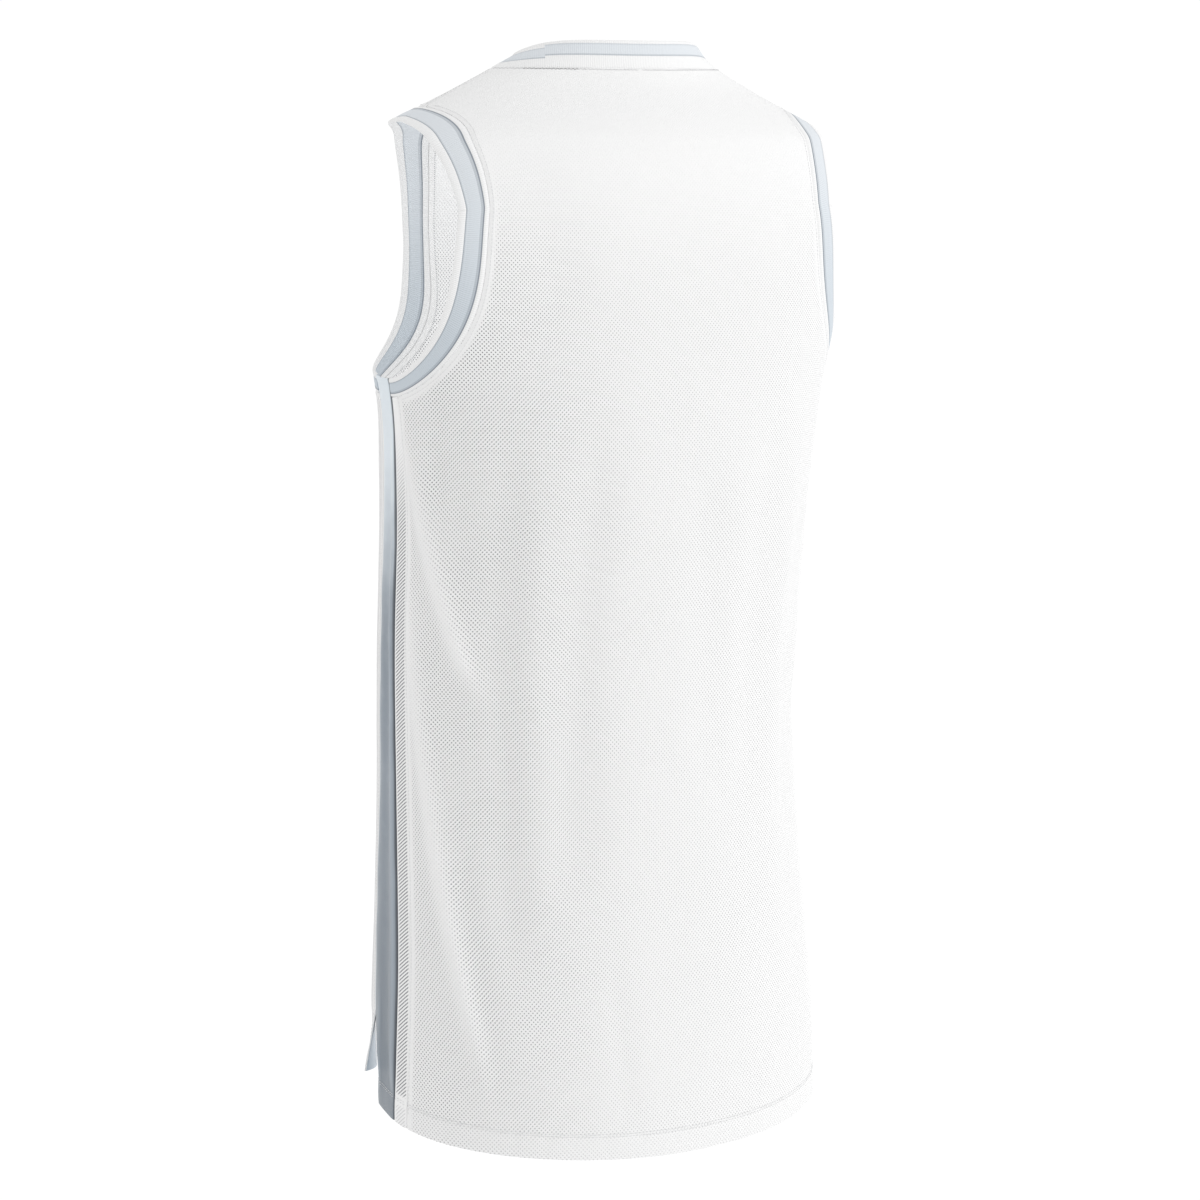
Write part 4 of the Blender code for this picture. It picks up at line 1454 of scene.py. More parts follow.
@dataclass
class Panel:
    """The back or the front, one cut piece of eyelet knit from side to side."""

    lines: CutLines
    half: Half
    flat: tuple[float, float]
    area: float
    wall: float = 0.9 * MM
    step: float = 4.4 * MM
    half_width: float = 0.235
    neck_zone: float = 1.0 * MM
    seam_depths: tuple = (0.7 * MM, 0.7 * MM, 0.7 * MM, 0.3 * MM)
    # painted light: the eyelets fade out high up
    painted_top_light_z: float = -0.045
    painted_top_light_drop: float = 0.150
    seam_margin: float = 5.0 * MM
    hem_margin: float = 18.0 * MM
    margin_fade: float = 2.0 * MM
    tail_reach: float = 150.0 * MM
    open_shares: tuple = (0.45, 0.30, 0.25)
    # crests lighter and hollows darker: partly closed and opened eyelets, partly painted light and shade
    crest_closing: float = 0.85
    hollow_opening: float = 0.25
    # painted light: the back's eyelets paler towards the wearer's right
    painted_light_right: float = 0.60
    right_start: float = 0.165
    right_fade: float = 0.15

    def _columns(self) -> Array:
        """Shares of the columns across a half."""
        start = SEAM_STEPS if self.half is Half.FRONT else ()
        return stops(self.half_width, self.step, start, SEAM_STEPS) / self.half_width

    def _back_grid(self) -> Array:
        """Lays out half of the back.

        Returns:
            Grid of places, rows from hem to neck and columns from the centre back to the side.
        """
        lines, columns = self.lines, self._columns()
        side, armhole, ridge = lines.panel_edge(Half.BACK)
        edge, run = chained(self.step, (side, HEM_STEPS, ()), (armhole, (), ()), (ridge, (), SEAM_STEPS))
        centre = lines.centre(lines.tail_z, lines.back_neck_z, Half.BACK)
        rows = matched(run, run_of(centre)[-1], HEM_STEPS[-1], SEAM_STEPS[-1])
        low = at_shares(lines.hem(0.0, lines.hem_share(Seam.STRIP_REAR, HALF_GAP)), columns)
        high = at_shares(lines.neckline(Half.BACK), columns)
        high[-1] = edge[-1]
        grid = blended(low, high, at_shares(centre, rows), edge, columns, rows)
        grid[:, 0, 0] = lines.form.quarter(grid[:, 0, 1], Half.BACK)
        return grid

    def _front_grids(self) -> list[Array]:
        """Lays out half of the front.

        Returns:
            Grids of the body and of the strap, rows going up and columns to the side.
        """
        lines, columns = self.lines, self._columns()
        side, armhole, ridge = lines.panel_edge(Half.FRONT)
        widest = int(np.argmin(armhole[:, 0]))
        strap_edge, run = chained(self.step, (armhole[widest:], (), SEAM_STEPS))
        neck_line = lines.neckline(Half.FRONT)
        neck_line[-1] = ridge[-1]
        neck = at_shares(neck_line, run / run[-1])
        strap_row = neck[0] + (armhole[widest] - neck[0]) * np.column_stack([columns, soft_step(columns)])
        shoulder = at_shares(ridge[::-1], columns)
        strap = blended(strap_row, shoulder, neck, strap_edge, columns, run / run[-1])
        edge, run = chained(self.step, (side, HEM_STEPS, ()), (armhole[:widest + 1], (), ()))
        centre = lines.centre(lines.front_hem_z, lines.front_neck_z, Half.FRONT)
        rows = matched(run, run_of(centre)[-1], HEM_STEPS[-1], self.neck_zone)
        low = at_shares(lines.front_hem(-HALF_GAP), columns)
        body = blended(low, strap_row, at_shares(centre, rows), edge, columns, rows)
        body[:, 0, 0] = -lines.form.quarter(body[:, 0, 1], Half.FRONT)
        strap[0] = body[-1]
        return [body, strap]

    def hem_line(self) -> Array:
        """The panel half's hem."""
        return self.lines.hem() if self.half is Half.BACK else self.lines.front_hem(0.0)

    def seam_distances(self, spots: Spots) -> list[Array]:
        """Distances from the side, armhole, shoulder and neck seams."""
        seams = (*self.lines.panel_edge(self.half), self.lines.neckline(self.half))
        return [spots.distance_to(seam) for seam in seams]

    def lift(self, spots: Spots) -> Array:
        """Shapes the outer skin: folds, seams, hem and the curl beside the slit.

        Args:
            spots: spots on the panel.
        Returns:
            Their distance from the form.
        """
        total = folds(spots)
        for distance, depth in zip(self.seam_distances(spots), self.seam_depths):
            total += RELIEF.seam(distance, depth)
        total += RELIEF.hem(spots.distance_to(self.hem_line()), spots.across)
        if self.half is Half.FRONT:
            total += self.lines.slit_curl(spots)
        return total

    def painted_hole_shade(self, spots: Spots) -> Array:
        """Works out the eyelets' painted shade: closed on seams and hem, less on crests and more in hollows,
        and faded out high up and towards the wearer's right as painted light.

        Args:
            spots: spots on the panel.
        Returns:
            Share of the full darkness.
        """
        hem = spots.distance_to(self.hem_line())
        least, body, tail = self.open_shares
        share = least + body * soft_step((hem - self.hem_margin) / self.margin_fade)
        share += tail * soft_step(hem / self.tail_reach)
        share *= soft_step((self.painted_top_light_z - spots.z) / self.painted_top_light_drop)
        near = np.minimum.reduce(self.seam_distances(spots))
        share *= soft_step((near - self.seam_margin) / self.margin_fade)
        crest = crest_share(CREASES[self.half], spots.across, spots.z)
        share *= 1.0 - self.crest_closing * crest.clip(0.0) + self.hollow_opening * (-crest).clip(0.0)
        if self.half is Half.BACK:
            share *= 1.0 - self.painted_light_right * soft_step((self.right_start - spots.across) / self.right_fade)
        return share

    def build(self, material: Material) -> None:
        """Args:
            material: the knit.
        """
        grids = [self._back_grid()] if self.half is Half.BACK else self._front_grids()
        net = Net.joined(self.lines.form, [(grid, side) for side in Side for grid in grids])
        outer, normal = net.laid(self.lift(net))
        outer[np.abs(outer[:, 0]) < CENTRE_SNAP, 0] = 0.0
        piece = shell(f"{self.half.value}_cloth", outer, outer - normal * self.wall, net.quads,
                      np.column_stack([net.across, net.height]), {"painted_hole_shade": self.painted_hole_shade(net)})
        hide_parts(f"{self.half.value}_panel")
        ready(piece, material, "white_mesh", len(net.quads), LIGHT_THROUGH_SINGLE)


@dataclass
class SidePiece:
    """A piece that each side of the jersey has, laid out as one grid."""

    lines: CutLines
    side: Side
    word: str
    node: str
    slot: str
    flat: tuple[float, float]
    area: float
    wall: float = 0.9 * MM

    def grid(self) -> Array:
        """The piece's pattern."""
        raise NotImplementedError

    def lift(self, spots: Spots) -> Array:
        """Distance of the outer skin from the form."""
        raise NotImplementedError

    def painted_hole_shade(self, spots: Spots) -> Array:
        """Share of the painted shade in the knit's openings, 0 to 1."""
        return np.ones(len(spots.along))

    def painted_highlight(self, spots: Spots) -> Array:
        """Share of the painted highlight on the crests of rolled satin, 0 to 1."""
        return np.zeros(len(spots.along))

    def painted_shade(self, spots: Spots) -> Array:
        """Share of painted shade in the recesses where the cloth turns in, 0 to 1."""
        return np.zeros(len(spots.along))

    def declare(self, piece: Piece, held: str) -> None:
        """Hides the solid that the piece replaces."""
        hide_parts(f"{self.node}_{self.side.word}")

    def build(self, material: Material) -> None:
        """Args:
            material: its cloth.
        """
        net = Net.joined(self.lines.form, [(self.grid(), self.side)])
        outer, normal = net.laid(self.lift(net))
        layers = {name: getattr(self, name)(net) for name in ("painted_hole_shade", "painted_highlight", "painted_shade")}
        piece = shell(f"{self.word}_{self.side.word}", outer, outer - normal * self.wall, net.quads,
                      np.column_stack([net.along * self.side.value, net.height]), layers)
        self.declare(piece, "hung")
        ready(piece, material, self.slot, len(net.quads))


@dataclass
class SideBand(SidePiece):
    """Satin band down the side, from the armhole rib's free edge to the hem."""

    word: str = "band_cloth"
    node: str = "side_band"
    slot: str = "grey_satin"
    flat: tuple[float, float] = (0.040, 0.56)
    area: float = 0.0178
    step: float = 2.6 * MM
    narrow: float = 20.0 * MM
    front_seam: Seam = Seam.BAND_FRONT
    rear_seam: Seam = Seam.BAND_REAR
    # each soft roll's middle and width in shares of the band, and its height
    rolls: tuple = ((0.84, 0.12, 1.9 * MM), (0.22, 0.18, 0.8 * MM), (0.56, 0.18, -0.9 * MM))
    ridge_top: float = 10.0 * MM
    ridge_drift: float = 3.0 * MM
    ridge_rise: float = 1.1 * MM
    wander: float = 0.9
    # strengths of the painted highlight on the roll, the edge and the ridge
    roll_gleam: float = 0.34
    edge_gleam: float = 0.26
    ridge_gleam: float = 0.40

    def seams_at(self, z: Array) -> tuple[Array, Array]:
        """Where the front and the rear seam run at the levels z."""
        return self.lines.seam_along(self.front_seam, z), self.lines.seam_along(self.rear_seam, z)

    def top_at(self, inset: float, z: float, shift: float) -> Array:
        """Draws a top edge along the armhole.

        Args:
            inset: distance in from the sewn edge of the rib.
            z: level at which the seams are met.
            shift: distance of the edge's ends from them.
        Returns:
            Places along the edge.
        """
        front, rear = self.seams_at(z)
        return self.lines.between(self.lines.underarm(inset), float(front) + shift, float(rear) - shift)

    def top(self, shift: float) -> Array:
        """Top edge, in line with the free edge of the ribs."""
        return self.top_at(self.lines.rib_width, self.lines.underarm_z, shift)

    def hem(self, shift: float) -> Array:
        """Lower edge on the tail hem."""
        lines = self.lines
        return lines.hem(lines.hem_share(self.front_seam, shift), lines.hem_share(self.rear_seam, -shift))

    def grid(self) -> Array:
        """Lays out the band.

        Returns:
            Grid of places, rows from hem to armhole and columns from the front to the rear.
        """
        lines = self.lines
        high, low = self.top(HALF_GAP), self.hem(HALF_GAP)
        tops, bottoms = ([float(lines.form.z_of(row[k, 1])) for k in (0, -1)] for row in (high, low))
        front = lines.side_seam(self.front_seam, bottoms[0], tops[0], HALF_GAP)
        rear = lines.side_seam(self.rear_seam, bottoms[1], tops[1], -HALF_GAP)
        width = max(run_of(low)[-1], run_of(high)[-1])
        ends = SEAM_STEPS if width > self.narrow else SEAM_STEPS[:3]
        columns = stops(width, self.step, ends, ends) / width
        first, run = chained(self.step, (front, HEM_STEPS, SEAM_STEPS))
        last = at_shares(rear, matched(run, run_of(rear)[-1], HEM_STEPS[-1], SEAM_STEPS[-1]))
        return blended(at_shares(low, columns), at_shares(high, columns), first, last, columns, run / run[-1])

    def lift(self, spots: Spots) -> Array:
        """Shapes the outer skin: soft rolls, and a ridge that runs down beside the slit.

        Args:
            spots: spots on the band.
        Returns:
            Their distance from the form.
        """
        lines, along, z = self.lines, spots.along, spots.z
        front, rear = self.seams_at(z)
        hem = spots.distance_to(lines.hem())
        share = (along - front) / (rear - front)
        rolls = sum(bell(share - middle, width) * height for middle, width, height in self.rolls)
        rolls *= soft_step((-z - 0.25) / 0.08) * soft_step((hem - 12.0 * MM) / (40.0 * MM))
        under_rib = 0.5 * MM * bell(lines.form.height_of(lines.underarm_z) - spots.height, 3.0 * MM)
        total = RELIEF.seam(rear - along, 2.0 * MM, 0.9 * MM) + RELIEF.seam(along - front, 0.7 * MM)
        total += rolls + under_rib + self.slit_ridge(spots, 1.8 * MM) * self.ridge_rise
        total += unevenness(along * 4, z * 2.0) * self.wander + lines.slit_tuck(spots)
        return total + RELIEF.hem(hem, along)

    def slit_ridge(self, spots: Spots, width: float) -> Array:
        """Places the narrow curved ridge that runs down beside the slit.

        Args:
            spots: spots on the band.
            width: width of the ridge.
        Returns:
            Share of the ridge's full height.
        """
        lines, z = self.lines, spots.z
        middle = self.seams_at(z)[0] + self.ridge_top - self.ridge_drift * lines.slit_place(spots)[0]
        begins = soft_step((lines.slit_top_z + 30.0 * MM - z) / (40.0 * MM))
        above_hem = soft_step((z - lines.side_corner_z - 4.0 * MM) / (20.0 * MM))
        return bell(spots.along - middle, width) * begins * above_hem

    def painted_highlight(self, spots: Spots) -> Array:
        """Places the painted highlight on the roll beside the rear seam, on the edge before the slit and on
        its ridge.

        Args:
            spots: spots on the band.
        Returns:
            Share of the painted highlight.
        """
        front, rear = self.seams_at(spots.z)
        roll = self.roll_gleam * bell(spots.along - rear + 4.2 * MM, 2.4 * MM)
        edge = self.edge_gleam * bell(spots.along - front - 2.0 * MM, 3.0 * MM)
        gleam = (roll + edge) * soft_step((spots.z - self.lines.side_corner_z) / (30.0 * MM))
        gleam += self.ridge_gleam * self.slit_ridge(spots, 1.2 * MM)
        return gleam * soft_step((-spots.z - 0.36) / 0.12)

    def painted_shade(self, spots: Spots) -> Array:
        """Painted shade: a dark line where the band is turned down into its rear seam."""
        return 0.9 * soft_step((1.7 * MM - (self.seams_at(spots.z)[1] - spots.along)) / (0.7 * MM))


@dataclass
class MeshStrip(SideBand):
    """Coarse mesh wedge between the band and the back."""

    word: str = "strip_cloth"
    node: str = "mesh_strip"
    slot: str = "coarse_mesh"
    flat: tuple[float, float] = (0.016, 0.56)
    area: float = 0.0084
    front_seam: Seam = Seam.BAND_REAR
    rear_seam: Seam = Seam.STRIP_REAR
    hem_share: float = 0.35

    def top(self, shift: float) -> Array:
        """Top edge, against the rib's sewn edge."""
        height = self.lines.form.height_of(self.lines.underarm_z) - self.lines.underarm_rib_width
        return self.top_at(-shift, self.lines.form.z_of(height), shift)

    def lift(self, spots: Spots) -> Array:
        """Shapes the outer skin, flat between its two seams.

        Args:
            spots: spots on the strip.
        Returns:
            Their distance from the form.
        """
        front, rear = self.seams_at(spots.z)
        total = RELIEF.seam(rear - spots.along, 0.8 * MM)
        total += RELIEF.seam(spots.along - front, 2.0 * MM, 0.6 * MM)
        total += RELIEF.hem(spots.distance_to(self.lines.hem()), spots.along)
        return total + self.lines.slit_tuck(spots)

    def painted_hole_shade(self, spots: Spots) -> Array:
        """Sets the painted shade in the openings: none high up and beside both seams, a share within the hem
        and none at its top.

        Args:
            spots: spots on the strip.
        Returns:
            Share of the openings' full painted shade.
        """
        front, rear = self.seams_at(spots.z)
        hem = spots.distance_to(self.lines.hem())
        beside_seams = soft_step((spots.along - front - 1.6 * MM) / (0.8 * MM))
        beside_seams *= soft_step((rear - spots.along - 0.8 * MM) / (0.6 * MM))
        below = self.hem_share * soft_step((15.0 * MM - hem) / (2.0 * MM))
        above = soft_step((hem - 21.0 * MM) / (1.0 * MM)) * soft_step((-spots.z - 0.26) / 0.09)
        return beside_seams * (below + above)


@dataclass
class SlitFacing(SidePiece):
    """Satin facing behind the front edge of the slit."""

    word: str = "facing_cloth"
    node: str = "slit_facing"
    slot: str = "grey_satin"
    flat: tuple[float, float] = (0.021, 0.056)
    area: float = 0.00116
    wall: float = 0.6 * MM
    inward: float = 1.5 * MM
    width: float = 19.6 * MM
    above_slit: float = 6.0 * MM
    rows: int = 26
    columns: int = 14

    def grid(self) -> Array:
        """Lays out the facing beside the front's seam edge.

        Returns:
            Grid of places, rows going up and columns to the slit.
        """
        form, lines = self.lines.form, self.lines
        low, high = (float(form.height_of(z)) for z in (lines.front_hem_z, lines.slit_top_z))
        rows = np.linspace(low, high + self.above_slit, self.rows)
        edge = lines.seam_along(Seam.BAND_FRONT, form.z_of(rows)) - HALF_GAP
        along = edge[:, None] + np.linspace(-self.width, 0.0, self.columns)
        return np.stack([along, np.repeat(rows[:, None], self.columns, axis=1)], axis=-1)

    def lift(self, spots: Spots) -> Array:
        """Distance of the outer skin from the form, under the front."""
        return folds(spots) + self.lines.slit_curl(spots) - self.inward

    def painted_shade(self, spots: Spots) -> Array:
        """Painted shade at the top of the slit, where the facing turns in behind the band."""
        return soft_step((spots.z - self.lines.slit_top_z + 24.0 * MM) / (16.0 * MM))


@dataclass
class ArmholeRib(SidePiece):
    """Striped rib round the armhole, from the band's rear over the shoulder to its front."""

    word: str = "arm_rib_cloth"
    node: str = "armhole_rib"
    slot: str = "striped_rib"
    flat: tuple[float, float] = (0.655, 0.0235)
    area: float = 0.0153
    wall: float = 1.2 * MM
    back_rows: int = 130
    front_rows: int = 150
    wave: float = 0.35 * MM
    wave_length: float = 19.0 * MM
    wave_width: float = 20.0 * MM
    # distance in from the sewn edge and distance out, in millimetres
    profile: tuple = (
        (0.15, -0.75), (0.6, -0.45), (1.2, -0.05), (2.0, 0.30), (3.0, 0.40), (3.9, 0.28), (4.3, 0.02),
        (4.7, 0.18), (5.6, 0.26), (6.3, 0.14), (6.9, 0.24), (9.0, 0.34), (11.0, 0.38), (13.2, 0.36),
        (15.4, 0.26), (16.0, 0.14),
        (16.6, 0.24), (17.5, 0.22), (18.0, -0.02), (18.4, 0.24), (19.8, 0.42), (21.6, 0.38), (22.8, 0.12),
        (23.3, -0.25), (23.5, -0.60))

    def grid(self) -> Array:
        """Lays out the rib.

        Returns:
            Grid of places, rows along the rib and columns from its sewn to its free edge.
        """
        form, lines = self.lines.form, self.lines
        made = []
        for inset in np.array(self.profile)[:, 0] * MM:
            low_z = float(form.z_of(lines.armhole_half(Half.BACK, inset)[0, 1]))
            front, start, strip = (float(lines.seam_along(seam, low_z)) for seam in Seam)
            under = lines.between(lines.underarm(inset), start + HALF_GAP, strip)
            up = lines.armhole_from(Half.BACK, inset, strip)
            down = lines.armhole_from(Half.FRONT, inset, front - HALF_GAP)[::-1]
            rows = [evenly(under, 4), evenly(up, self.back_rows)[1:], evenly(down, self.front_rows)[1:]]
            made.append(np.vstack(rows))
        return np.stack(made, axis=1)

    def build(self, material: Material) -> None:
        """Args:
            material: the striped rib knit.
        """
        grid = self.grid()
        rows, count = grid.shape[:2]
        insets, relief = np.tile(np.array(self.profile).T * MM, rows)
        middle = grid[:, count // 2]
        run = np.repeat(run_of(self.lines.form.points(middle[:, 0], middle[:, 1])), count)
        spots = Spots.on(self.lines.form, grid, self.side)
        wave = self.wave * np.sin(run / self.wave_length) * soft_step(insets / self.wave_width)
        outer, normal = spots.laid(relief + folds(spots) + wave)
        numbers = np.arange(rows * count).reshape(rows, count)
        quads = grid_quads(numbers[:, ::-1] if self.side is Side.RIGHT else numbers)
        quads = facing_out(quads, outer, normal)
        piece = shell(f"{self.word}_{self.side.word}", outer, outer - normal * self.wall, quads,
                      np.column_stack([run, insets]))
        self.declare(piece, "stretched")
        ready(piece, material, self.slot, len(quads))


@dataclass
class NeckRib:
    """Striped rib ring round the neck, joined at the wearer's left of the centre back."""

    lines: CutLines
    flat: tuple[float, float] = (0.56, 0.024)
    wall: float = 1.2 * MM
    back_points: int = 110
    front_points: int = 140
    smoothing: int = 6
    join_at: float = 0.077
    join_step: float = 2.3 * MM
    join_fade: tuple = (0.12, 0.06)
    aim_z: float = 0.060
    # distance up from the neck seam and distance out, in millimetres
    profile: tuple = (
        (0.15, -0.35), (0.6, -0.15), (1.2, 0.08), (2.4, 0.30), (5.0, 0.45), (8.6, 0.38), (9.5, 0.22),
        (9.9, 0.02), (10.3, 0.20), (12.5, 0.34), (15.5, 0.34), (18.1, 0.22), (18.6, 0.02), (19.0, 0.22),
        (19.7, 0.36), (20.3, 0.10),
        (20.7, -0.25), (21.0, -0.60))

    def loop(self) -> tuple[Array, Array]:
        """Draws the closed loop of the neck seam, from the centre back.

        Returns:
            Its points, and the form's normals there.
        """
        form, lines = self.lines.form, self.lines
        back = evenly(lines.neckline(Half.BACK), self.back_points)
        back[-1, 0] = 0.0
        front = evenly(lines.neckline(Half.FRONT), self.front_points)
        left = np.vstack([back, front[-2::-1]])
        mirror = np.array([-1.0, 1.0, 1.0])
        points, normals = (read(left[:, 0], left[:, 1]) for read in (form.points, form.normals))
        return np.vstack([points, points[-2:0:-1] * mirror]), np.vstack([normals, normals[-2:0:-1] * mirror])

    def ring(self) -> tuple[Array, Array, Array]:
        """Leads the rib from its join round the neck and back to its join.

        Returns:
            Points of the neck seam, the ways out of the cloth and the ways up the rib.
        """
        loop, out = self.loop()
        for _ in range(self.smoothing):
            out = (np.roll(out, 1, axis=0) + out * 2 + np.roll(out, -1, axis=0)) / 4
        out = unit(out)
        climb = np.cross(out, np.roll(loop, -1, axis=0) - np.roll(loop, 1, axis=0))
        climb *= np.sign(np.sum(climb * (np.array([0.0, 0.0, self.aim_z]) - loop), axis=1))[:, None]
        start = int(np.argmin(np.abs(run_of(loop) - self.join_at)))
        order = (np.arange(len(loop) + 1) + start) % len(loop)
        return loop[order], out[order], unit(climb)[order]

    def build(self, material: Material) -> None:
        """Args:
            material: the striped rib knit.
        """
        loop, out, climb = self.ring()
        reach, lift = np.array(self.profile).T * MM
        count = len(reach)
        outer = loop[:, None, :] + climb[:, None, :] * reach[:, None] + out[:, None, :] * lift[:, None]
        outer = outer.reshape(-1, 3)
        normal = np.repeat(out, count, axis=0)
        quads = grid_quads(np.arange(len(outer)).reshape(-1, count))
        quads = facing_out(quads, outer, normal)
        run = run_of(loop)
        shift = self.join_step * soft_step((self.join_fade[0] - run) / self.join_fade[1])
        chart = np.column_stack([np.repeat(run, count), (reach + shift[:, None]).ravel()])
        piece = shell("neck_rib_cloth", outer, outer - normal * self.wall, quads, chart)
        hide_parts("neck_rib")
        ready(piece, material, "striped_rib", len(quads))


@dataclass
class Sewing:
    """All visible stitching and the seam allowances inside."""

    lines: CutLines
    panels: dict[Half, Panel]
    bands: list[SideBand]
    pitch: float = 2.8 * MM
    length: float = 2.2 * MM
    band_margin: float = 1.2 * MM
    seam_radius: float = 0.20 * MM
    side_row: float = 1.9 * MM
    armhole_row: float = 2.6 * MM
    shoulder_row: float = 1.8 * MM
    zigzag_pitch: float = 1.5 * MM
    zigzag_rows: tuple = (-1.0 * MM, -2.6 * MM)
    zigzag_radii: tuple = (0.14 * MM, 0.20 * MM)
    join_run: tuple = (0.051, 0.094)
    allowance_rows: tuple = (0.5 * MM, 2.0 * MM, 4.0 * MM, 5.6 * MM, 6.2 * MM)
    allowance_step: float = 3.0 * MM
    allowance_wall: float = 0.7 * MM
    allowance_gap: float = 0.25 * MM

    def _sew(self, run: StitchRun, piece: Panel | SideBand, side: Side, line: Array) -> None:
        """Sews a row of stitches along a line on the pattern.

        Args:
            run: the run that takes the stitches.
            piece: the cloth that is sewn.
            side: side of the body.
            line: places along the row.
        """
        ends = [Spots.on(self.lines.form, place, side) for place in dashes(line, self.pitch, self.length)]
        (start, first), (end, last) = (spots.laid(piece.lift(spots)) for spots in ends)
        run.add(start, end, (first + last) / 2)

    def hems(self) -> StitchRun:
        """Sews the twin rows above every hem.

        Returns:
            The run with their stitches.
        """
        lines = self.lines
        run = StitchRun("hem_stitches")
        tail = lines.hem(0.0, lines.hem_share(Seam.STRIP_REAR, HALF_GAP))
        for side in Side:
            hems = [(self.panels[Half.BACK], tail), (self.panels[Half.FRONT], lines.front_hem(-HALF_GAP))]
            hems += [(band, band.hem(self.band_margin)) for band in self.bands if band.side is side]
            for rise in HEM_ROWS:
                for piece, line in hems:
                    self._sew(run, piece, side, line + (0.0, rise))
        return run

    def seams(self) -> StitchRun:
        """Sews single rows beside the armhole, side and shoulder seams.

        Returns:
            The run with their stitches.
        """
        run = StitchRun("seam_stitches", radius=self.seam_radius)
        for side in Side:
            for half, panel in self.panels.items():
                edge, armhole, ridge = self.lines.panel_edge(half)
                self._sew(run, panel, side, beside(edge[8:-2], -half.sign * self.side_row))
                self._sew(run, panel, side, beside(evenly(armhole, 260)[4:-6], -half.sign * self.armhole_row))
            self._sew(run, self.panels[Half.FRONT], side, beside(ridge[4:-4], self.shoulder_row))
        return run

    def neck_zigzags(self) -> list[StitchRun]:
        """Sews the fine zigzag under the neck seam of the back.

        Returns:
            The pale grey run, and the dark grey one by the rib's join; both greys are painted shade of the
            neck seam's groove.
        """
        names = ("neck_zigzag", "neck_join_zigzag")
        runs = [StitchRun(name, radius=radius) for name, radius in zip(names, self.zigzag_radii)]
        line = self.lines.neckline(Half.BACK)
        whole = run_of(line)[-1]
        count = int(whole / self.zigzag_pitch)
        rise = np.where(np.arange(count) % 2 == 0, *self.zigzag_rows)
        place = at_shares(line, (np.arange(count) + 0.5) / count) + np.column_stack([np.zeros(count), rise])
        run = (np.arange(count - 1) + 1.0) / count * whole
        for side in Side:
            spots = Spots.on(self.lines.form, place, side)
            points, normal = spots.laid(self.panels[Half.BACK].lift(spots) + 0.05 * MM)
            join = (run > self.join_run[0]) & (run < self.join_run[1]) & (side is Side.LEFT)
            for stitches, chosen in zip(runs, (~join, join)):
                if chosen.any():
                    stitches.add(points[:-1][chosen], points[1:][chosen], normal[:-1][chosen], 0.1)
        return runs

    def _allowance(self, panel: Panel, side: Side, line: Array, way: int) -> tuple[Array, ...]:
        """Lays the allowance of one seam inside a panel.

        Args:
            panel: the panel.
            side: side of the body.
            line: the seam.
            way: 1 where the panel lies to the right of the line, -1 where it lies to the left.
        Returns:
            Outer and inner points, faces, and the two lengths on the cloth.
        """
        row = evenly(line, max(20, int(run_of(line)[-1] / self.allowance_step)))
        grid = np.stack([beside(row, -way * reach) for reach in self.allowance_rows], axis=1)
        spots = Spots.on(self.lines.form, grid, side)
        on_panel = panel.half.sign * spots.along > 0
        spots.along = np.where(on_panel, spots.along, panel.half.sign * 0.2 * MM)
        outer, normal = spots.laid(panel.lift(spots) - panel.wall - self.allowance_gap)
        quads = facing_out(grid_quads(np.arange(len(outer)).reshape(grid.shape[:2])), outer, normal)
        chart = np.column_stack([np.repeat(run_of(row), len(self.allowance_rows)),
                                 np.tile(self.allowance_rows, len(row))])
        return outer, outer - normal * self.allowance_wall, quads, chart

    def allowances(self, material: Material) -> None:
        """Builds the overlocked allowances inside, along armhole, neck and side seams.

        Args:
            material: the overlocked edge.
        """
        for half, panel in self.panels.items():
            side_line, armhole, _ = self.lines.panel_edge(half)
            seams = ((side_line, half.sign), (armhole, half.sign), (self.lines.neckline(half), -half.sign))
            strips = [self._allowance(panel, side, line, way) for side in Side for line, way in seams]
            outer, inner, quads, chart = zip(*strips)
            starts = np.cumsum([0] + [len(points) for points in outer])
            faces = np.vstack([own + start for own, start in zip(quads, starts)])
            piece = shell(f"{half.value}_allowances", np.vstack(outer), np.vstack(inner), faces,
                          np.vstack(chart))
            ready(piece, material, "white_mesh", len(faces), LIGHT_THROUGH_SINGLE)

    def build(self) -> None:
        """Builds and dresses all sewing."""
        white = Thread("white_thread").material()
        # grey zigzag threads: painted shade of the neck seam's groove, darkest by the rib's join
        pale = Thread("pale_grey_thread", (0.56, 0.56, 0.57, 1.0)).material()
        dark = Thread("grey_thread", (0.20, 0.20, 0.21, 1.0)).material()
        zigzag, join = self.neck_zigzags()
        for run, material in ((self.hems(), white), (self.seams(), white), (zigzag, pale), (join, dark)):
            ready(run.build(), material, "white_mesh")
        self.allowances(OverlockEdge().material())


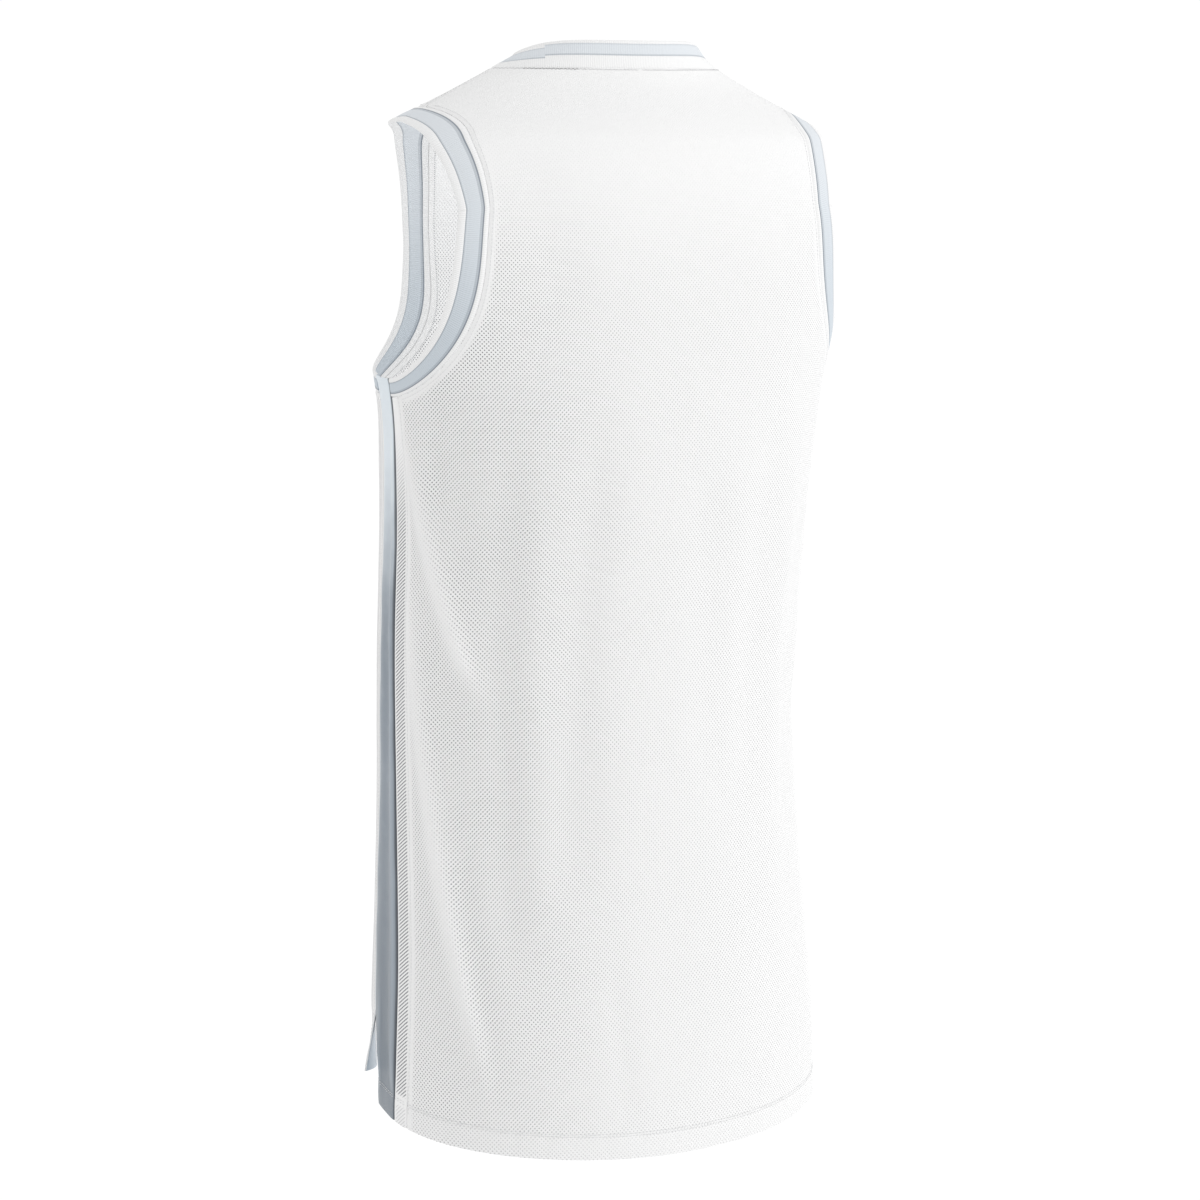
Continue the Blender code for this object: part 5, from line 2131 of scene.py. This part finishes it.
# ---- studio
@dataclass
class Studio:
    """Pale floor, soft light and the camera."""

    aim: tuple = (0.0031, -0.0022, -0.4046)
    round_angle: float = math.radians(35.0)
    elevation: float = math.radians(6.5)
    distance: float = 3.2
    view_width: float = 0.9204
    sensor: float = 36.0
    clip: tuple = (0.05, 60.0)
    floor_z: float = -1.42
    floor_reach: float = 14.0
    floor_colour: tuple = (0.10, 0.10, 0.10, 1.0)
    floor_near: float = 0.84
    floor_far: float = 0.95
    ambient: float = 0.95
    ambient_tilt: float = 0.06
    ambient_from: tuple = (-0.30, 0.60, 0.10)
    behind: float = 1.02
    white: tuple = (1.0, 1.0, 1.0, 1.0)
    key_place: tuple = (-2.6, 2.2, -0.1)
    key_size: float = 1.8
    key_power: float = 33.0

    def toward(self) -> Vector:
        """Way from the jersey to the camera."""
        x, y, level = math.sin(self.round_angle), math.cos(self.round_angle), math.cos(self.elevation)
        return Vector((x * level, y * level, math.sin(self.elevation)))

    def camera(self) -> None:
        """Sets up the camera."""
        data = bpy.data.cameras.new("camera")
        data.sensor_width = self.sensor
        data.lens = self.sensor * self.distance / self.view_width
        data.clip_start, data.clip_end = self.clip
        camera = bpy.data.objects.new("camera", data)
        camera.location = Vector(self.aim) + self.toward() * self.distance
        camera.rotation_euler = self.toward().to_track_quat("Z", "Y").to_euler()
        bpy.context.scene.collection.objects.link(camera)
        bpy.context.scene.camera = camera

    def lamp(self) -> None:
        """Hangs a square soft light that faces the jersey."""
        data = bpy.data.lights.new("key", "AREA")
        data.shape = "SQUARE"
        data.size = self.key_size
        data.energy = self.key_power
        lamp = bpy.data.objects.new("key", data)
        lamp.location = self.key_place
        lamp.rotation_euler = (Vector(self.key_place) - Vector(self.aim)).to_track_quat("Z", "Y").to_euler()
        bpy.context.scene.collection.objects.link(lamp)

    def sky(self) -> None:
        """Sets white behind the jersey, and softer light round it that is stronger from above."""
        board = Board("studio", world=True)
        way = board.node("ShaderNodeTexCoord", output="Generated")
        above = board.dot(way, self.ambient_from)
        level = board.maths("MULTIPLY_ADD", above, self.ambient_tilt, self.ambient)
        share = board.ramp(board.dot(way, tuple(-self.toward())), 0.55, 0.80)
        gap = board.maths("SUBTRACT", self.behind, level)
        strength = board.maths("MULTIPLY_ADD", share, gap, level)
        board.feed(board.shader.inputs, {"Strength": strength, "Color": self.white})
        bpy.context.scene.world = board.material

    def floor(self) -> None:
        """Lays the pale floor, brightest far behind the jersey."""
        mesh = bpy.data.meshes.new("floor")
        reach = self.floor_reach
        corners = [(x * reach, y * reach, self.floor_z) for x, y in ((-1, -1), (1, -1), (1, 1), (-1, 1))]
        mesh.from_pydata(corners, [], [(0, 1, 2, 3)])
        floor = bpy.data.objects.new("floor", mesh)
        bpy.context.scene.collection.objects.link(floor)
        board = Board("pale_floor")
        away = board.dot(board.spot(), (-math.sin(self.round_angle), -math.cos(self.round_angle), 0.0))
        glow = board.ramp(away, 0.2, 1.6, self.floor_near, self.floor_far)
        board.feed(board.shader.inputs, {"Emission Strength": glow, "Emission Color": self.white})
        floor.data.materials.append(board.finish(self.floor_colour, 0.9, 0.0, 0.0))

    def build(self) -> None:
        """Sets up floor, light and camera."""
        bpy.context.scene.view_settings.view_transform = "Standard"
        self.sky()
        self.floor()
        self.lamp()
        self.camera()


def main() -> None:
    """Builds the jersey's pieces in order and reports each."""
    logging.basicConfig(level=logging.INFO, format="%(message)s", stream=sys.stdout)
    lines = CutLines(BodyForm())
    shade = (0.46, 0.52, 0.58, 1.0)
    knit = EyeletKnit().material()
    satin = SatinTricot().material()
    pale_satin = SatinTricot("pale_satin_tricot", shade, shade, shade).material()
    hatch = HatchMesh().material()
    arm_rib = StripedRib("arm_rib_knit", 4.3 * MM, 18.0 * MM).material()
    neck_rib = StripedRib("neck_rib_knit", 9.9 * MM, 18.6 * MM, side_band=1.2 * MM, side_share=0.14,
                          edge_share=0.34).material()
    panels = {
        Half.BACK: Panel(lines, Half.BACK, (0.50, 0.83), 0.339),
        Half.FRONT: Panel(lines, Half.FRONT, (0.46, 0.77), 0.2635),
    }
    for panel in panels.values():
        panel.build(knit)
    bands = []
    for side in Side:
        band, strip = SideBand(lines, side), MeshStrip(lines, side)
        band.build(satin)
        strip.build(hatch)
        SlitFacing(lines, side).build(pale_satin)
        ArmholeRib(lines, side).build(arm_rib)
        bands += [band, strip]
    NeckRib(lines).build(neck_rib)
    Sewing(lines, panels, bands).build()
    Studio().build()


if __name__ == "__main__":
    main()
